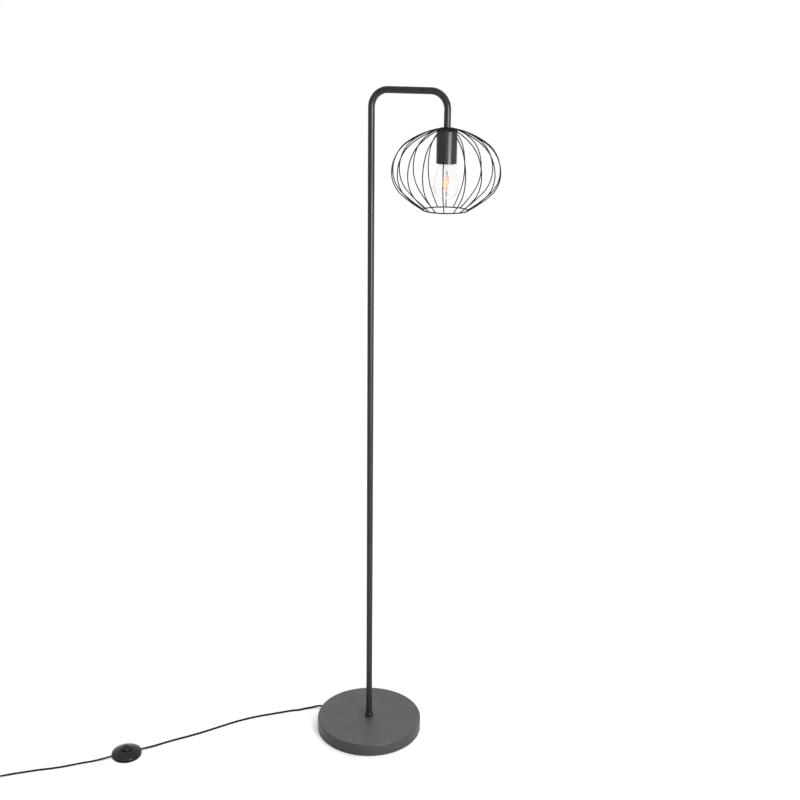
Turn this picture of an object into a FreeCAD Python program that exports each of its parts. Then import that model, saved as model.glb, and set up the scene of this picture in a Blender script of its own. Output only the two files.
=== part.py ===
import FreeCAD, Part
import math
import os
from FreeCAD import Vector as V

# Wire cage floor lamp.  Millimetres, +Z up.  The origin is on the floor, on the pole's axis,
# and the arm reaches out along +X.

# ---------------------------------------------------------------- driving sizes
LAMP_HEIGHT = 1700.0           # floor to the top of the arm
ARM_REACH = 184.0              # pole axis to the axis of the hanging head
BEND_RADIUS = 40.0             # centreline of both bends of the arm
POLE_RADIUS = 8.0
POLE_WALL = 1.2
SECTION_LENGTH = 420.0         # each of the three straight pole sections
SECTION_COUNT = 3

BASE_RADIUS = 140.0
BASE_HEIGHT = 34.0
COVER_WALL = 2.0
COVER_EDGE = 2.5               # rounding of the cover's upper edge
COVER_LIFT = 1.0               # floor to the cover's lower edge
PAD_INSET = 9.5                # pad's edge inside the cover's
PAD_THICKNESS = 2.0
WEIGHT_INSET = 7.5
WEIGHT_THICKNESS = 12.0
WEIGHT_BOSS_RADIUS = 34.0
WEIGHT_RECESS_RADIUS = 28.0
WEIGHT_WEB = 7.0
FOOT_COLLAR_RADIUS = 11.0
FOOT_COLLAR_HEIGHT = 11.0

PIPE_RADIUS = 5.0              # hollow threaded pipe that joins everything
PIPE_BORE = 3.5
PIPE_REACH = 12.0              # how far a pipe screws into an end bush
PIPE_TAIL = 0.5                # pipe standing out below the base nut
BUSH_LENGTH = 15.0
NUT_FLATS = 14.0
NUT_HEIGHT = 3.0
WASHER_RADIUS = 10.0
WASHER_THICKNESS = 1.0

HANG_DROP = 88.0               # top of the arm to its lower end, where the head is clamped
RING_PLATE_RADIUS = 14.0
RING_PLATE_THICKNESS = 4.0
RIB_COUNT = 18
RIB_PHASE = 5.6                # degrees from +X to the first rib
RIB_OFFSETS = (                # degrees that each rib stands off its even place
    0.0, 0.0, 1.6, 0.0, 0.6, 0.0, 1.0, -0.5, 1.9, 0.0, 0.0, 0.5, -1.6, -3.2, -2.1, 0.8, -0.6, 1.1,
)
RIB_WIRE_RADIUS = 1.3
CAGE_RADIUS = 126.5            # to the middle of the wire
CAGE_WAIST_DROP = 100.0        # arm's lower end to the widest place
RIB_START_SLOPE = 10.0         # degrees below level where a rib leaves the plate
RIB_END_SLOPE = 30.0           # degrees below level where a rib meets the lower ring
LOWER_RING_RADIUS = 52.5
LOWER_RING_DROP = 187.5        # arm's lower end to the ring
LOWER_RING_WIRE_RADIUS = 1.5

CUP_RADIUS = 23.8
CUP_LENGTH = 76.5
CUP_WALL = 1.0
CUP_FLAT_RADIUS = 18.5         # the level part of its closed end
NIPPLE_DROP = 22.0             # pipe below the arm's end
HOLDER_RADIUS = 19.0
HOLDER_NECK_RADIUS = 8.0
HOLDER_NECK_LENGTH = 8.0
HOLDER_SHOULDER = 8.0
HOLDER_CAP_LENGTH = 32.0
HOLDER_CAP_WALL = 2.0
HOLDER_FLOOR = 8.0
HOLDER_RIM_INSET = 2.5         # holder's mouth above the cup's edge
THREAD_SHELL_WALL = 0.5

BULB_CAP_RADIUS = 13.2
BULB_CAP_LENGTH = 26.0
BULB_CAP_WALL = 0.6
BULB_LENGTH = 110.0
BULB_RADIUS = 30.0
BULB_NECK_RADIUS = 13.6
BULB_GLASS = 0.8
BULB_CONTACT_RADIUS = 4.5
BULB_CONTACT_HEIGHT = 2.0
BULB_CAP_INSET = 1.0           # cap's rim above the cup's edge
FILAMENT_COUNT = 4
FILAMENT_LENGTH = 38.0
FILAMENT_RADIUS = 0.9
FILAMENT_CIRCLE = 6.0
FILAMENT_TURN = 20.0
FILAMENT_TOP_DROP = 26.0       # cap's rim to the filaments' upper ends
LEAD_RADIUS = 0.35
STEM_RADIUS = 4.0
STEM_DROP = 20.0               # cap's rim to the end of the glass stem

CORD_RADIUS = 2.7
CORD_EXIT_ANGLE = 167.0        # degrees from +X, at the rear of the base
CORD_EXIT_HEIGHT = 8.0
CORD_LEAD = 9.0                # straight out of the boot before the cord sinks
BOOT_OUTSIDE = 10.0
BOOT_INSIDE = 18.5
BOOT_BODY_RADIUS = 4.3
BOOT_FLANGE_RADIUS = 6.0
BOOT_FLANGE = 1.5
BOOT_TIP_RADIUS = 3.6
CHANNEL_WIDTH = 11.0
CLAMP_PLACE = 80.0             # from the pole's axis
CLAMP_SPAN = 30.0
CLAMP_WIDTH = 9.6
CLAMP_THICKNESS = 2.0
CLAMP_SCREW_RADIUS = 1.5
CLAMP_SCREW_LENGTH = 8.0
CLAMP_SCREW_HEAD = 2.6

SWITCH_PLACE = (-406.9, -373.8)
SWITCH_ANGLE = 44.0            # degrees, the way the cord runs through it
SWITCH_RADIUS = 38.5
SWITCH_SEAM_Z = 5.8
SWITCH_EDGE_Z = 8.4            # top of its upright side
SWITCH_TOP_Z = 19.5            # middle of the dome's whole curve
SWITCH_ROUNDING = 2.2
SWITCH_WALL = 2.0
BUTTON_RADIUS = 12.8
BUTTON_TRAVEL = 3.5
BUTTON_CROWN_Z = 29.0
BUTTON_EDGE_Z = 21.5
BUTTON_CEILING_Z = 21.5
BUTTON_WALL = 2.0
WELL_RADIUS = 15.8             # sunken ring round the button
WELL_FLOOR_Z = 15.0
WELL_WALL = 1.2
FLANGE_STEP = 2.5
FLANGE_THICKNESS = 1.2
PLUNGER_RADIUS = 3.5
SPRING_RADIUS = 6.2
SPRING_WALL = 1.2
CONTACT_BLOCK = (26.0, 18.0, 6.0)
SWITCH_SCREW_PLACE = 25.0
SWITCH_BOSS_RADIUS = 4.0
SWITCH_SCREW_RADIUS = 1.4
SWITCH_SCREW_HEAD = 2.6
SWITCH_SCREW_TIP_Z = 10.5

COIL_START = (-706.9, -606.8)  # where the cord runs into its outer turn
COIL_HEADING = 219.0           # degrees, the way it runs there
COIL_RADIUS = 37.0             # of the outer turn, to the middle of the cord
COIL_PITCH = 6.0               # from one turn to the next
COIL_LAYER = 5.9               # from one layer to the next
COIL_QUARTERS_IN = 9
COIL_QUARTERS_CLIMB = 2
COIL_QUARTERS_OUT = 10
COIL_TAIL = 34.0               # from the coil to the plug
TIE_BAND = 0.6
TIE_WIDTH = 8.0
TIE_ANGLE = 20.0               # degrees round the coil from where the cord comes in

PLUG_LENGTH = 37.0
PLUG_WIDTH = 35.0
PLUG_THICKNESS = 14.0
PLUG_NOSE_WIDTH = 26.0
PLUG_BOOT = 20.0
PLUG_BOOT_RADIUS = 5.0
PLUG_ROUNDING = 3.0
PIN_RADIUS = 2.0
PIN_LENGTH = 19.0
PIN_SPACING = 18.6
PIN_SEAT = 8.0

RUNNING_CLEARANCE = 0.3
THREAD_CLEARANCE = 0.05
PASSING_CLEARANCE = 0.3
CORD_CLEARANCE = 0.15
SMALL_GAP = 0.1

# The free cord's places on the floor are measured from below the boot's outer end; the third
# number is the height of the cord's middle.  First from the base to the foot switch.
FEED_ROUTE = [
    (-18.5, 1.6, 5.9), (-28.6, -3.0, 4.0), (-40.0, -11.1, 2.9), (-52.9, -19.8, 2.7),
    (-62.9, -31.0, 2.7), (-78.5, -38.6, 2.7), (-104.3, -58.4, 2.7), (-135.5, -81.6, 2.7),
    (-169.3, -108.0, 2.7), (-202.7, -141.2, 2.7), (-233.9, -179.6, 2.7), (-263.3, -216.2, 2.7),
    (-292.3, -249.0, 2.7), (-320.9, -277.4, 2.7), (-345.3, -305.6, 2.7), (-360.9, -325.8, 3.8),
]
# Then from the foot switch to where the cord is wound up.
LEAD_ROUTE = [
    (-452.4, -415.3, 3.8), (-469.3, -429.2, 2.7), (-494.9, -447.4, 2.7), (-522.5, -471.0, 2.7),
    (-550.5, -491.6, 2.7), (-578.3, -508.2, 2.7), (-605.9, -527.2, 2.7), (-633.5, -547.0, 2.7),
    (-660.5, -569.0, 2.9), (-684.9, -588.8, 3.4),
]

# ---------------------------------------------------------------- places worked out from them
PAD_RADIUS = BASE_RADIUS - PAD_INSET
WEIGHT_RADIUS = BASE_RADIUS - WEIGHT_INSET
POLE_FOOT_Z = BASE_HEIGHT
ARM_FOOT_Z = POLE_FOOT_Z + SECTION_COUNT * SECTION_LENGTH
ARM_AXIS_Z = LAMP_HEIGHT - POLE_RADIUS
BUSH_RADIUS = POLE_RADIUS - POLE_WALL - THREAD_CLEARANCE
THREAD_RADIUS = PIPE_RADIUS + THREAD_CLEARANCE
HOLE_RADIUS = PIPE_RADIUS + PASSING_CLEARANCE
COVER_INNER_Z = BASE_HEIGHT - COVER_WALL
WEB_Z = COVER_INNER_Z - WEIGHT_WEB
BASE_NUT_Z = WEB_Z - WASHER_THICKNESS - NUT_HEIGHT
STUD_FOOT_Z = BASE_NUT_Z - PIPE_TAIL
HANG_Z = LAMP_HEIGHT - HANG_DROP
CAGE_WAIST_Z = HANG_Z - CAGE_WAIST_DROP
LOWER_RING_Z = HANG_Z - LOWER_RING_DROP
PLATE_Z = HANG_Z - RING_PLATE_THICKNESS
CUP_EDGE_Z = PLATE_Z - CUP_LENGTH
CUP_SHOULDER = CUP_RADIUS - CUP_FLAT_RADIUS
CUP_ROOF_Z = PLATE_Z - CUP_WALL
CUP_NUT_Z = CUP_ROOF_Z - WASHER_THICKNESS - NUT_HEIGHT
HOLDER_CAP_Z = CUP_NUT_Z - HOLDER_CAP_LENGTH
HOLDER_RIM_Z = CUP_EDGE_Z + HOLDER_RIM_INSET
BULB_RIM_Z = CUP_EDGE_Z + BULB_CAP_INSET
BULB_TOP_Z = BULB_RIM_Z + BULB_CAP_LENGTH
BULB_TIP_Z = BULB_TOP_Z - BULB_LENGTH
EXIT_DIRECTION = V(math.cos(math.radians(CORD_EXIT_ANGLE)), math.sin(math.radians(CORD_EXIT_ANGLE)), 0)
EXIT_AXIS = V(0, 0, CORD_EXIT_HEIGHT)
BOOT_END = BASE_RADIUS + BOOT_OUTSIDE
CORD_ORIGIN = EXIT_DIRECTION * BOOT_END
SWITCH_CENTRE = CORD_ORIGIN + V(SWITCH_PLACE[0], SWITCH_PLACE[1], 0)
SWITCH_DIRECTION = V(math.cos(math.radians(SWITCH_ANGLE)), math.sin(math.radians(SWITCH_ANGLE)), 0)
UP = V(0, 0, 1)


# ---------------------------------------------------------------- shapes used again and again
def cylinder(radius, z_low, z_high, x=0.0, y=0.0):
    return Part.makeCylinder(radius, z_high - z_low, V(x, y, z_low))


def tube(outer, inner, z_low, z_high, x=0.0, y=0.0):
    return cylinder(outer, z_low, z_high, x, y).cut(cylinder(inner, z_low - 1, z_high + 1, x, y))


def turned(outline, x=0.0, y=0.0):
    """A solid of revolution about the upright line at x, y.  The outline holds (radius, z) points;
    a pair of points in place of one is an arc's middle and end."""
    edges = []
    last = V(outline[0][0], 0, outline[0][1])
    first = last
    for place in outline[1:]:
        if isinstance(place[0], tuple):
            middle = V(place[0][0], 0, place[0][1])
            end = V(place[1][0], 0, place[1][1])
            edges.append(Part.Arc(last, middle, end).toShape())
        else:
            end = V(place[0], 0, place[1])
            edges.append(Part.LineSegment(last, end).toShape())
        last = end
    if last.distanceToPoint(first) > 1e-6:
        edges.append(Part.LineSegment(last, first).toShape())
    solid = Part.Face(Part.Wire(edges)).revolve(V(0, 0, 0), UP, 360)
    solid.translate(V(x, y, 0))
    return solid


def arcs_outline(edges):
    """Arcs in the XZ plane as the outline pairs that a turned solid takes."""
    pairs = []
    for edge in edges:
        middle = edge.valueAt((edge.FirstParameter + edge.LastParameter) / 2)
        last = edge.valueAt(edge.LastParameter)
        pairs.append(((middle.x, middle.z), (last.x, last.z)))
    return pairs


def aimed(shape, origin, direction):
    """Moves a shape built about +Z so that its axis runs along a direction from a place."""
    turn = FreeCAD.Rotation(UP, direction)
    shape.Placement = FreeCAD.Placement(origin, turn).multiply(shape.Placement)
    return shape


def hexagon(z_low, height, x=0.0, y=0.0):
    corner = NUT_FLATS / 2 / math.cos(math.radians(30))
    places = []
    for i in range(7):
        angle = math.radians(60 * i)
        places.append(V(x + corner * math.cos(angle), y + corner * math.sin(angle), z_low))
    return Part.Face(Part.makePolygon(places)).extrude(V(0, 0, height))


def circle_edges(shape, z, radius):
    found = []
    for edge in shape.Edges:
        if edge.Degenerated:
            continue
        curve = edge.Curve
        if isinstance(curve, Part.Circle) and abs(curve.Radius - radius) < 1e-3:
            if abs(curve.Center.z - z) < 1e-3:
                found.append(edge)
    return found


def swept(edges, radius):
    """A round bar or cord along joined edges that run smoothly into each other."""
    wire = Part.Wire(edges)
    first = edges[0]
    start = first.valueAt(first.FirstParameter)
    heading = first.tangentAt(first.FirstParameter)
    ring = Part.Wire([Part.Circle(start, heading, radius).toShape()])
    return wire.makePipeShell([ring], True, False)


def rounded_path(places):
    """Straight runs joined by tangent arcs, each as large as its two runs allow."""
    edges = []
    radii = []
    last = places[0]
    for i in range(1, len(places) - 1):
        corner = places[i]
        before = corner - places[i - 1]
        after = places[i + 1] - corner
        half_turn = before.getAngle(after) / 2
        run = min(before.Length, after.Length)
        radius = 0.45 * run / math.tan(half_turn)
        setback = 0.45 * run
        into = V(before).normalize()
        out = V(after).normalize()
        start = corner - into * setback
        end = corner + out * setback
        inward = (out - into).normalize()
        middle = corner + inward * (radius / math.cos(half_turn) - radius)
        edges.append(Part.LineSegment(last, start).toShape())
        edges.append(Part.Arc(start, middle, end).toShape())
        radii.append(radius)
        last = end
    edges.append(Part.LineSegment(last, places[-1]).toShape())
    return edges, radii


def biarc(start, heading_in, end, heading_out):
    """Two tangent arcs from one place and heading to another."""
    span = end - start
    both = heading_in + heading_out
    spread = 2 * (1 - heading_in.dot(heading_out))
    lean = span.dot(both)
    reach = (-lean + math.sqrt(lean * lean + spread * span.dot(span))) / spread
    corners = [start + heading_in * reach, end - heading_out * reach]
    joint = (corners[0] + corners[1]) * 0.5
    edges = []
    for first, corner, last in ((start, corners[0], joint), (joint, corners[1], end)):
        chord_middle = (first + last) * 0.5
        half_cosine = (last - first).Length / 2 / reach
        middle = chord_middle + (corner - chord_middle) * (half_cosine / (1 + half_cosine))
        edges.append(Part.Arc(first, middle, last).toShape())
    return edges


def path_length(edges):
    return sum(edge.Length for edge in edges)


def checked_cord(name, edges, solid, radii=None):
    length = path_length(edges)
    expected = math.pi * CORD_RADIUS ** 2 * length
    note = f"{name}: length {length:.1f}, volume ratio {solid.Volume / expected:.5f}"
    if radii:
        note += f", least radius {min(radii):.1f}"
        note += ", radii " + " ".join(f"{radius:.0f}" for radius in radii)
    print(note)
    return solid


# ---------------------------------------------------------------- base
def channel_box(start, end, width, z_low, z_high):
    """A straight box that runs out from the pole's axis along the cord's way out."""
    box = Part.makeBox(end - start, width, z_high - z_low, V(start, -width / 2, z_low))
    box.rotate(V(0, 0, 0), UP, CORD_EXIT_ANGLE)
    return box


def make_base_cover():
    outside = cylinder(BASE_RADIUS, COVER_LIFT, BASE_HEIGHT)
    outside = outside.makeFillet(COVER_EDGE, circle_edges(outside, BASE_HEIGHT, BASE_RADIUS))
    cover = outside.cut(cylinder(BASE_RADIUS - COVER_WALL, 0, COVER_INNER_Z))
    cover = cover.cut(cylinder(HOLE_RADIUS, COVER_INNER_Z - 1, BASE_HEIGHT + 1))
    slot_radius = BOOT_BODY_RADIUS + 2 * SMALL_GAP
    slot = channel_box(BASE_RADIUS - 10, BASE_RADIUS + 5, 2 * slot_radius, 0, CORD_EXIT_HEIGHT)
    hole = aimed(Part.makeCylinder(slot_radius, 15, V(0, 0, BASE_RADIUS - 10)), EXIT_AXIS, EXIT_DIRECTION)
    return cover.cut(slot).cut(hole)


def make_base_weight():
    weight = cylinder(WEIGHT_RADIUS, PAD_THICKNESS, PAD_THICKNESS + WEIGHT_THICKNESS)
    weight = weight.fuse(cylinder(WEIGHT_BOSS_RADIUS, PAD_THICKNESS, COVER_INNER_Z)).removeSplitter()
    weight = weight.cut(cylinder(WEIGHT_RECESS_RADIUS, 0, WEB_Z))
    weight = weight.cut(cylinder(HOLE_RADIUS, 0, COVER_INNER_Z + 1))
    roof = CORD_EXIT_HEIGHT + BOOT_BODY_RADIUS + SMALL_GAP
    weight = weight.cut(channel_box(WEIGHT_RECESS_RADIUS - 8, WEIGHT_RADIUS + 1, CHANNEL_WIDTH, 0, roof))
    pocket_z = CORD_EXIT_HEIGHT - CORD_RADIUS
    start = CLAMP_PLACE - CLAMP_WIDTH / 2 - SMALL_GAP
    end = CLAMP_PLACE + CLAMP_WIDTH / 2 + SMALL_GAP
    weight = weight.cut(channel_box(start, end, CLAMP_SPAN + 2 * SMALL_GAP, 0, pocket_z))
    for screw in clamp_screw_places():
        z_top = pocket_z - SMALL_GAP - CLAMP_THICKNESS + CLAMP_SCREW_LENGTH + SMALL_GAP
        weight = weight.cut(cylinder(CLAMP_SCREW_RADIUS + THREAD_CLEARANCE, 0, z_top, screw.x, screw.y))
    return weight


def clamp_screw_places():
    side = V(-EXIT_DIRECTION.y, EXIT_DIRECTION.x, 0)
    reach = (CLAMP_SPAN + CHANNEL_WIDTH) / 4
    return [EXIT_DIRECTION * CLAMP_PLACE + side * (reach * way) for way in (-1, 1)]


def make_cord_clamp():
    z_high = CORD_EXIT_HEIGHT - CORD_RADIUS - SMALL_GAP
    start = CLAMP_PLACE - CLAMP_WIDTH / 2
    bar = channel_box(start, start + CLAMP_WIDTH, CLAMP_SPAN, z_high - CLAMP_THICKNESS, z_high)
    for screw in clamp_screw_places():
        bar = bar.cut(cylinder(CLAMP_SCREW_RADIUS + SMALL_GAP, 0, z_high + 1, screw.x, screw.y))
    return bar


def make_clamp_screws():
    seat = CORD_EXIT_HEIGHT - CORD_RADIUS - SMALL_GAP - CLAMP_THICKNESS
    screws = []
    for screw in clamp_screw_places():
        shank = cylinder(CLAMP_SCREW_RADIUS, seat, seat + CLAMP_SCREW_LENGTH, screw.x, screw.y)
        head = cylinder(CLAMP_SCREW_HEAD, PAD_THICKNESS + SMALL_GAP, seat, screw.x, screw.y)
        screws.append(shank.fuse(head).removeSplitter())
    return screws


def make_cord_boot():
    wall_in = BASE_RADIUS - COVER_WALL - 3 * SMALL_GAP
    wall_out = BASE_RADIUS + 3 * SMALL_GAP
    bore = CORD_RADIUS + CORD_CLEARANCE
    outline = [
        (bore, BOOT_END), (bore, BASE_RADIUS - BOOT_INSIDE),
        (BOOT_BODY_RADIUS, BASE_RADIUS - BOOT_INSIDE), (BOOT_BODY_RADIUS, wall_in - BOOT_FLANGE),
        (BOOT_FLANGE_RADIUS, wall_in - BOOT_FLANGE), (BOOT_FLANGE_RADIUS, wall_in),
        (BOOT_BODY_RADIUS, wall_in), (BOOT_BODY_RADIUS, wall_out), (BOOT_FLANGE_RADIUS, wall_out),
        (BOOT_FLANGE_RADIUS, wall_out + BOOT_FLANGE), (BOOT_BODY_RADIUS, wall_out + BOOT_FLANGE),
        (BOOT_TIP_RADIUS, BOOT_END),
    ]
    return aimed(turned(outline), EXIT_AXIS, EXIT_DIRECTION)


def make_foot_collar():
    collar = tube(FOOT_COLLAR_RADIUS, POLE_RADIUS + SMALL_GAP, BASE_HEIGHT, BASE_HEIGHT + FOOT_COLLAR_HEIGHT)
    top = circle_edges(collar, BASE_HEIGHT + FOOT_COLLAR_HEIGHT, FOOT_COLLAR_RADIUS)
    return collar.makeChamfer(1.2, top)


# ---------------------------------------------------------------- pole and arm
def arm_path():
    low_bend = ARM_AXIS_Z - BEND_RADIUS
    inset = BEND_RADIUS * (1 - math.cos(math.radians(45)))
    far = ARM_REACH - BEND_RADIUS
    return [
        Part.LineSegment(V(0, 0, ARM_FOOT_Z), V(0, 0, low_bend)).toShape(),
        Part.Arc(V(0, 0, low_bend), V(inset, 0, ARM_AXIS_Z - inset), V(BEND_RADIUS, 0, ARM_AXIS_Z)).toShape(),
        Part.LineSegment(V(BEND_RADIUS, 0, ARM_AXIS_Z), V(far, 0, ARM_AXIS_Z)).toShape(),
        Part.Arc(V(far, 0, ARM_AXIS_Z), V(ARM_REACH - inset, 0, ARM_AXIS_Z - inset),
                 V(ARM_REACH, 0, low_bend)).toShape(),
        Part.LineSegment(V(ARM_REACH, 0, low_bend), V(ARM_REACH, 0, HANG_Z)).toShape(),
    ]


def make_arm():
    path = arm_path()
    return swept(path, POLE_RADIUS).cut(swept(path, POLE_RADIUS - POLE_WALL))


def make_pole_section(index):
    z_low = POLE_FOOT_Z + index * SECTION_LENGTH
    return tube(POLE_RADIUS, POLE_RADIUS - POLE_WALL, z_low, z_low + SECTION_LENGTH)


def make_end_bushes():
    bushes = []
    for index in range(SECTION_COUNT):
        z_low = POLE_FOOT_Z + index * SECTION_LENGTH
        z_high = z_low + SECTION_LENGTH
        bushes.append(tube(BUSH_RADIUS, THREAD_RADIUS, z_low, z_low + BUSH_LENGTH))
        bushes.append(tube(BUSH_RADIUS, THREAD_RADIUS, z_high - BUSH_LENGTH, z_high))
    bushes.append(tube(BUSH_RADIUS, THREAD_RADIUS, ARM_FOOT_Z, ARM_FOOT_Z + BUSH_LENGTH))
    bushes.append(tube(BUSH_RADIUS, THREAD_RADIUS, HANG_Z, HANG_Z + BUSH_LENGTH, ARM_REACH))
    return bushes


def make_joint_pipes():
    pipes = []
    for index in range(1, SECTION_COUNT + 1):
        joint = POLE_FOOT_Z + index * SECTION_LENGTH
        pipes.append(tube(PIPE_RADIUS, PIPE_BORE, joint - PIPE_REACH, joint + PIPE_REACH))
    return pipes


def make_pipe_nuts():
    nuts = []
    for z_low, x in ((BASE_NUT_Z, 0.0), (CUP_NUT_Z, ARM_REACH)):
        nut = hexagon(z_low, NUT_HEIGHT, x)
        nuts.append(nut.cut(cylinder(THREAD_RADIUS, z_low - 1, z_low + NUT_HEIGHT + 1, x)))
    return nuts


def make_pipe_washers():
    washers = []
    for z_low, x in ((WEB_Z - WASHER_THICKNESS, 0.0), (CUP_ROOF_Z - WASHER_THICKNESS, ARM_REACH)):
        washers.append(tube(WASHER_RADIUS, HOLE_RADIUS, z_low, z_low + WASHER_THICKNESS, x))
    return washers


# ---------------------------------------------------------------- wire shade
def rib_edges(angle):
    """One rib's line: out of the plate, round the waist and in to the lower ring."""
    out = V(math.cos(math.radians(angle)), math.sin(math.radians(angle)), 0)
    head = V(ARM_REACH, 0, 0)
    start_slope = math.radians(RIB_START_SLOPE)
    end_slope = math.radians(RIB_END_SLOPE)
    plate = head + out * (RING_PLATE_RADIUS - RIB_WIRE_RADIUS) + UP * (HANG_Z - RIB_WIRE_RADIUS)
    waist = head + out * CAGE_RADIUS + UP * CAGE_WAIST_Z
    foot = head + out * LOWER_RING_RADIUS + UP * LOWER_RING_Z
    leave = out * math.cos(start_slope) - UP * math.sin(start_slope)
    arrive = out * -math.cos(end_slope) - UP * math.sin(end_slope)
    return biarc(plate, leave, waist, -UP) + biarc(waist, -UP, foot, arrive)


def make_lower_ring():
    return Part.makeTorus(LOWER_RING_RADIUS, LOWER_RING_WIRE_RADIUS, V(ARM_REACH, 0, LOWER_RING_Z))


def make_rib(index):
    angle = RIB_PHASE + index * 360.0 / RIB_COUNT + RIB_OFFSETS[index]
    rib = swept(rib_edges(angle), RIB_WIRE_RADIUS)
    rib = rib.cut(cylinder(RING_PLATE_RADIUS, PLATE_Z - 20, HANG_Z + 20, ARM_REACH))
    return max(rib.cut(make_lower_ring()).Solids, key=lambda solid: solid.Volume)


# ---------------------------------------------------------------- lamp holder
def make_cup():
    inner = CUP_RADIUS - CUP_WALL
    outside = cylinder(CUP_RADIUS, CUP_EDGE_Z, PLATE_Z, ARM_REACH)
    outside = outside.makeFillet(CUP_SHOULDER, circle_edges(outside, PLATE_Z, CUP_RADIUS))
    inside = cylinder(inner, CUP_EDGE_Z - 1, CUP_ROOF_Z, ARM_REACH)
    inside = inside.makeFillet(CUP_SHOULDER - CUP_WALL, circle_edges(inside, CUP_ROOF_Z, inner))
    return outside.cut(inside).cut(cylinder(HOLE_RADIUS, CUP_ROOF_Z - 1, PLATE_Z + 1, ARM_REACH))


def make_holder_cap():
    neck_foot = CUP_NUT_Z - HOLDER_NECK_LENGTH
    shoulder = neck_foot - HOLDER_SHOULDER
    inner = HOLDER_RADIUS - HOLDER_CAP_WALL
    outline = [
        (THREAD_RADIUS, CUP_NUT_Z), (HOLDER_NECK_RADIUS, CUP_NUT_Z), (HOLDER_NECK_RADIUS, neck_foot),
        (HOLDER_RADIUS, shoulder), (HOLDER_RADIUS, HOLDER_CAP_Z), (inner, HOLDER_CAP_Z),
        (inner, shoulder - HOLDER_CAP_WALL), (THREAD_RADIUS, shoulder - HOLDER_CAP_WALL),
    ]
    return turned(outline, ARM_REACH)


def make_holder_body():
    body = cylinder(HOLDER_RADIUS, HOLDER_RIM_Z, HOLDER_CAP_Z, ARM_REACH)
    hollow = shell_outer_radius() + THREAD_CLEARANCE
    return body.cut(cylinder(hollow, HOLDER_RIM_Z - 1, HOLDER_CAP_Z - HOLDER_FLOOR, ARM_REACH))


def shell_outer_radius():
    return BULB_CAP_RADIUS + RUNNING_CLEARANCE + THREAD_SHELL_WALL


def make_thread_shell():
    inner = BULB_CAP_RADIUS + RUNNING_CLEARANCE
    return tube(shell_outer_radius(), inner, HOLDER_RIM_Z + 2, HOLDER_CAP_Z - HOLDER_FLOOR, ARM_REACH)


def make_holder_contact():
    z_high = HOLDER_CAP_Z - HOLDER_FLOOR
    z_low = BULB_TOP_Z + RUNNING_CLEARANCE
    spring = cylinder(BULB_CONTACT_RADIUS - 1, z_low, z_high, ARM_REACH)
    return spring.fuse(cylinder(BULB_CONTACT_RADIUS + 2, z_high - 1, z_high, ARM_REACH)).removeSplitter()


# ---------------------------------------------------------------- bulb
def glass_outline(inset):
    """The bulb's outline at a depth inside its outer surface: neck, shoulder, round end."""
    belly_z = BULB_TIP_Z + BULB_RADIUS
    neck = BULB_NECK_RADIUS - inset
    belly = BULB_RADIUS - inset
    lean = math.radians(32)
    start = V(neck, 0, BULB_RIM_Z - RUNNING_CLEARANCE - inset)
    shoulder = biarc(start, V(math.sin(lean), 0, -math.cos(lean)), V(belly, 0, belly_z), V(0, 0, -1))
    end = belly * math.sin(math.radians(45))
    round_end = ((end, belly_z - end), (0.0, belly_z - belly))
    return [(neck, start.z)] + arcs_outline(shoulder) + [round_end]


def make_glass():
    top = BULB_RIM_Z + BULB_CAP_LENGTH / 2
    throat = BULB_CAP_RADIUS - BULB_CAP_WALL - SMALL_GAP
    outer = glass_outline(0.0)
    inner = glass_outline(BULB_GLASS)
    body = turned([(0.0, top), (throat, top), (throat, outer[0][1])] + outer, ARM_REACH)
    throat -= BULB_GLASS
    hollow = turned([(0.0, top + 1), (throat, top + 1), (throat, inner[0][1])] + inner, ARM_REACH)
    return body.cut(hollow)


def make_bulb_cap():
    top = BULB_TOP_Z - BULB_CONTACT_HEIGHT
    cone = top - 4.5
    wall = BULB_CAP_WALL
    inner = BULB_CAP_RADIUS - wall
    outline = [
        (0.0, top), (BULB_CONTACT_RADIUS + 1, top), (BULB_CAP_RADIUS, cone), (BULB_CAP_RADIUS, BULB_RIM_Z),
        (inner, BULB_RIM_Z), (inner, cone - wall), (BULB_CONTACT_RADIUS, top - 2 * wall),
        (0.0, top - 2 * wall),
    ]
    return turned(outline, ARM_REACH)


def make_bulb_contact():
    return cylinder(BULB_CONTACT_RADIUS, BULB_TOP_Z - BULB_CONTACT_HEIGHT, BULB_TOP_Z, ARM_REACH)


def make_stem():
    top = BULB_RIM_Z + BULB_CAP_LENGTH / 2 - 2
    flare = BULB_CAP_RADIUS - BULB_CAP_WALL - BULB_GLASS - 2 * SMALL_GAP
    foot = BULB_RIM_Z - STEM_DROP
    outline = [
        (0.0, top), (flare, top), (flare, top - 1.5), (STEM_RADIUS, top - 8), (STEM_RADIUS, foot + 5),
        (STEM_RADIUS / 2, foot), (0.0, foot),
    ]
    return turned(outline, ARM_REACH)


def bar_between(start, end, radius):
    return Part.makeCylinder(radius, (end - start).Length, start, end - start)


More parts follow.
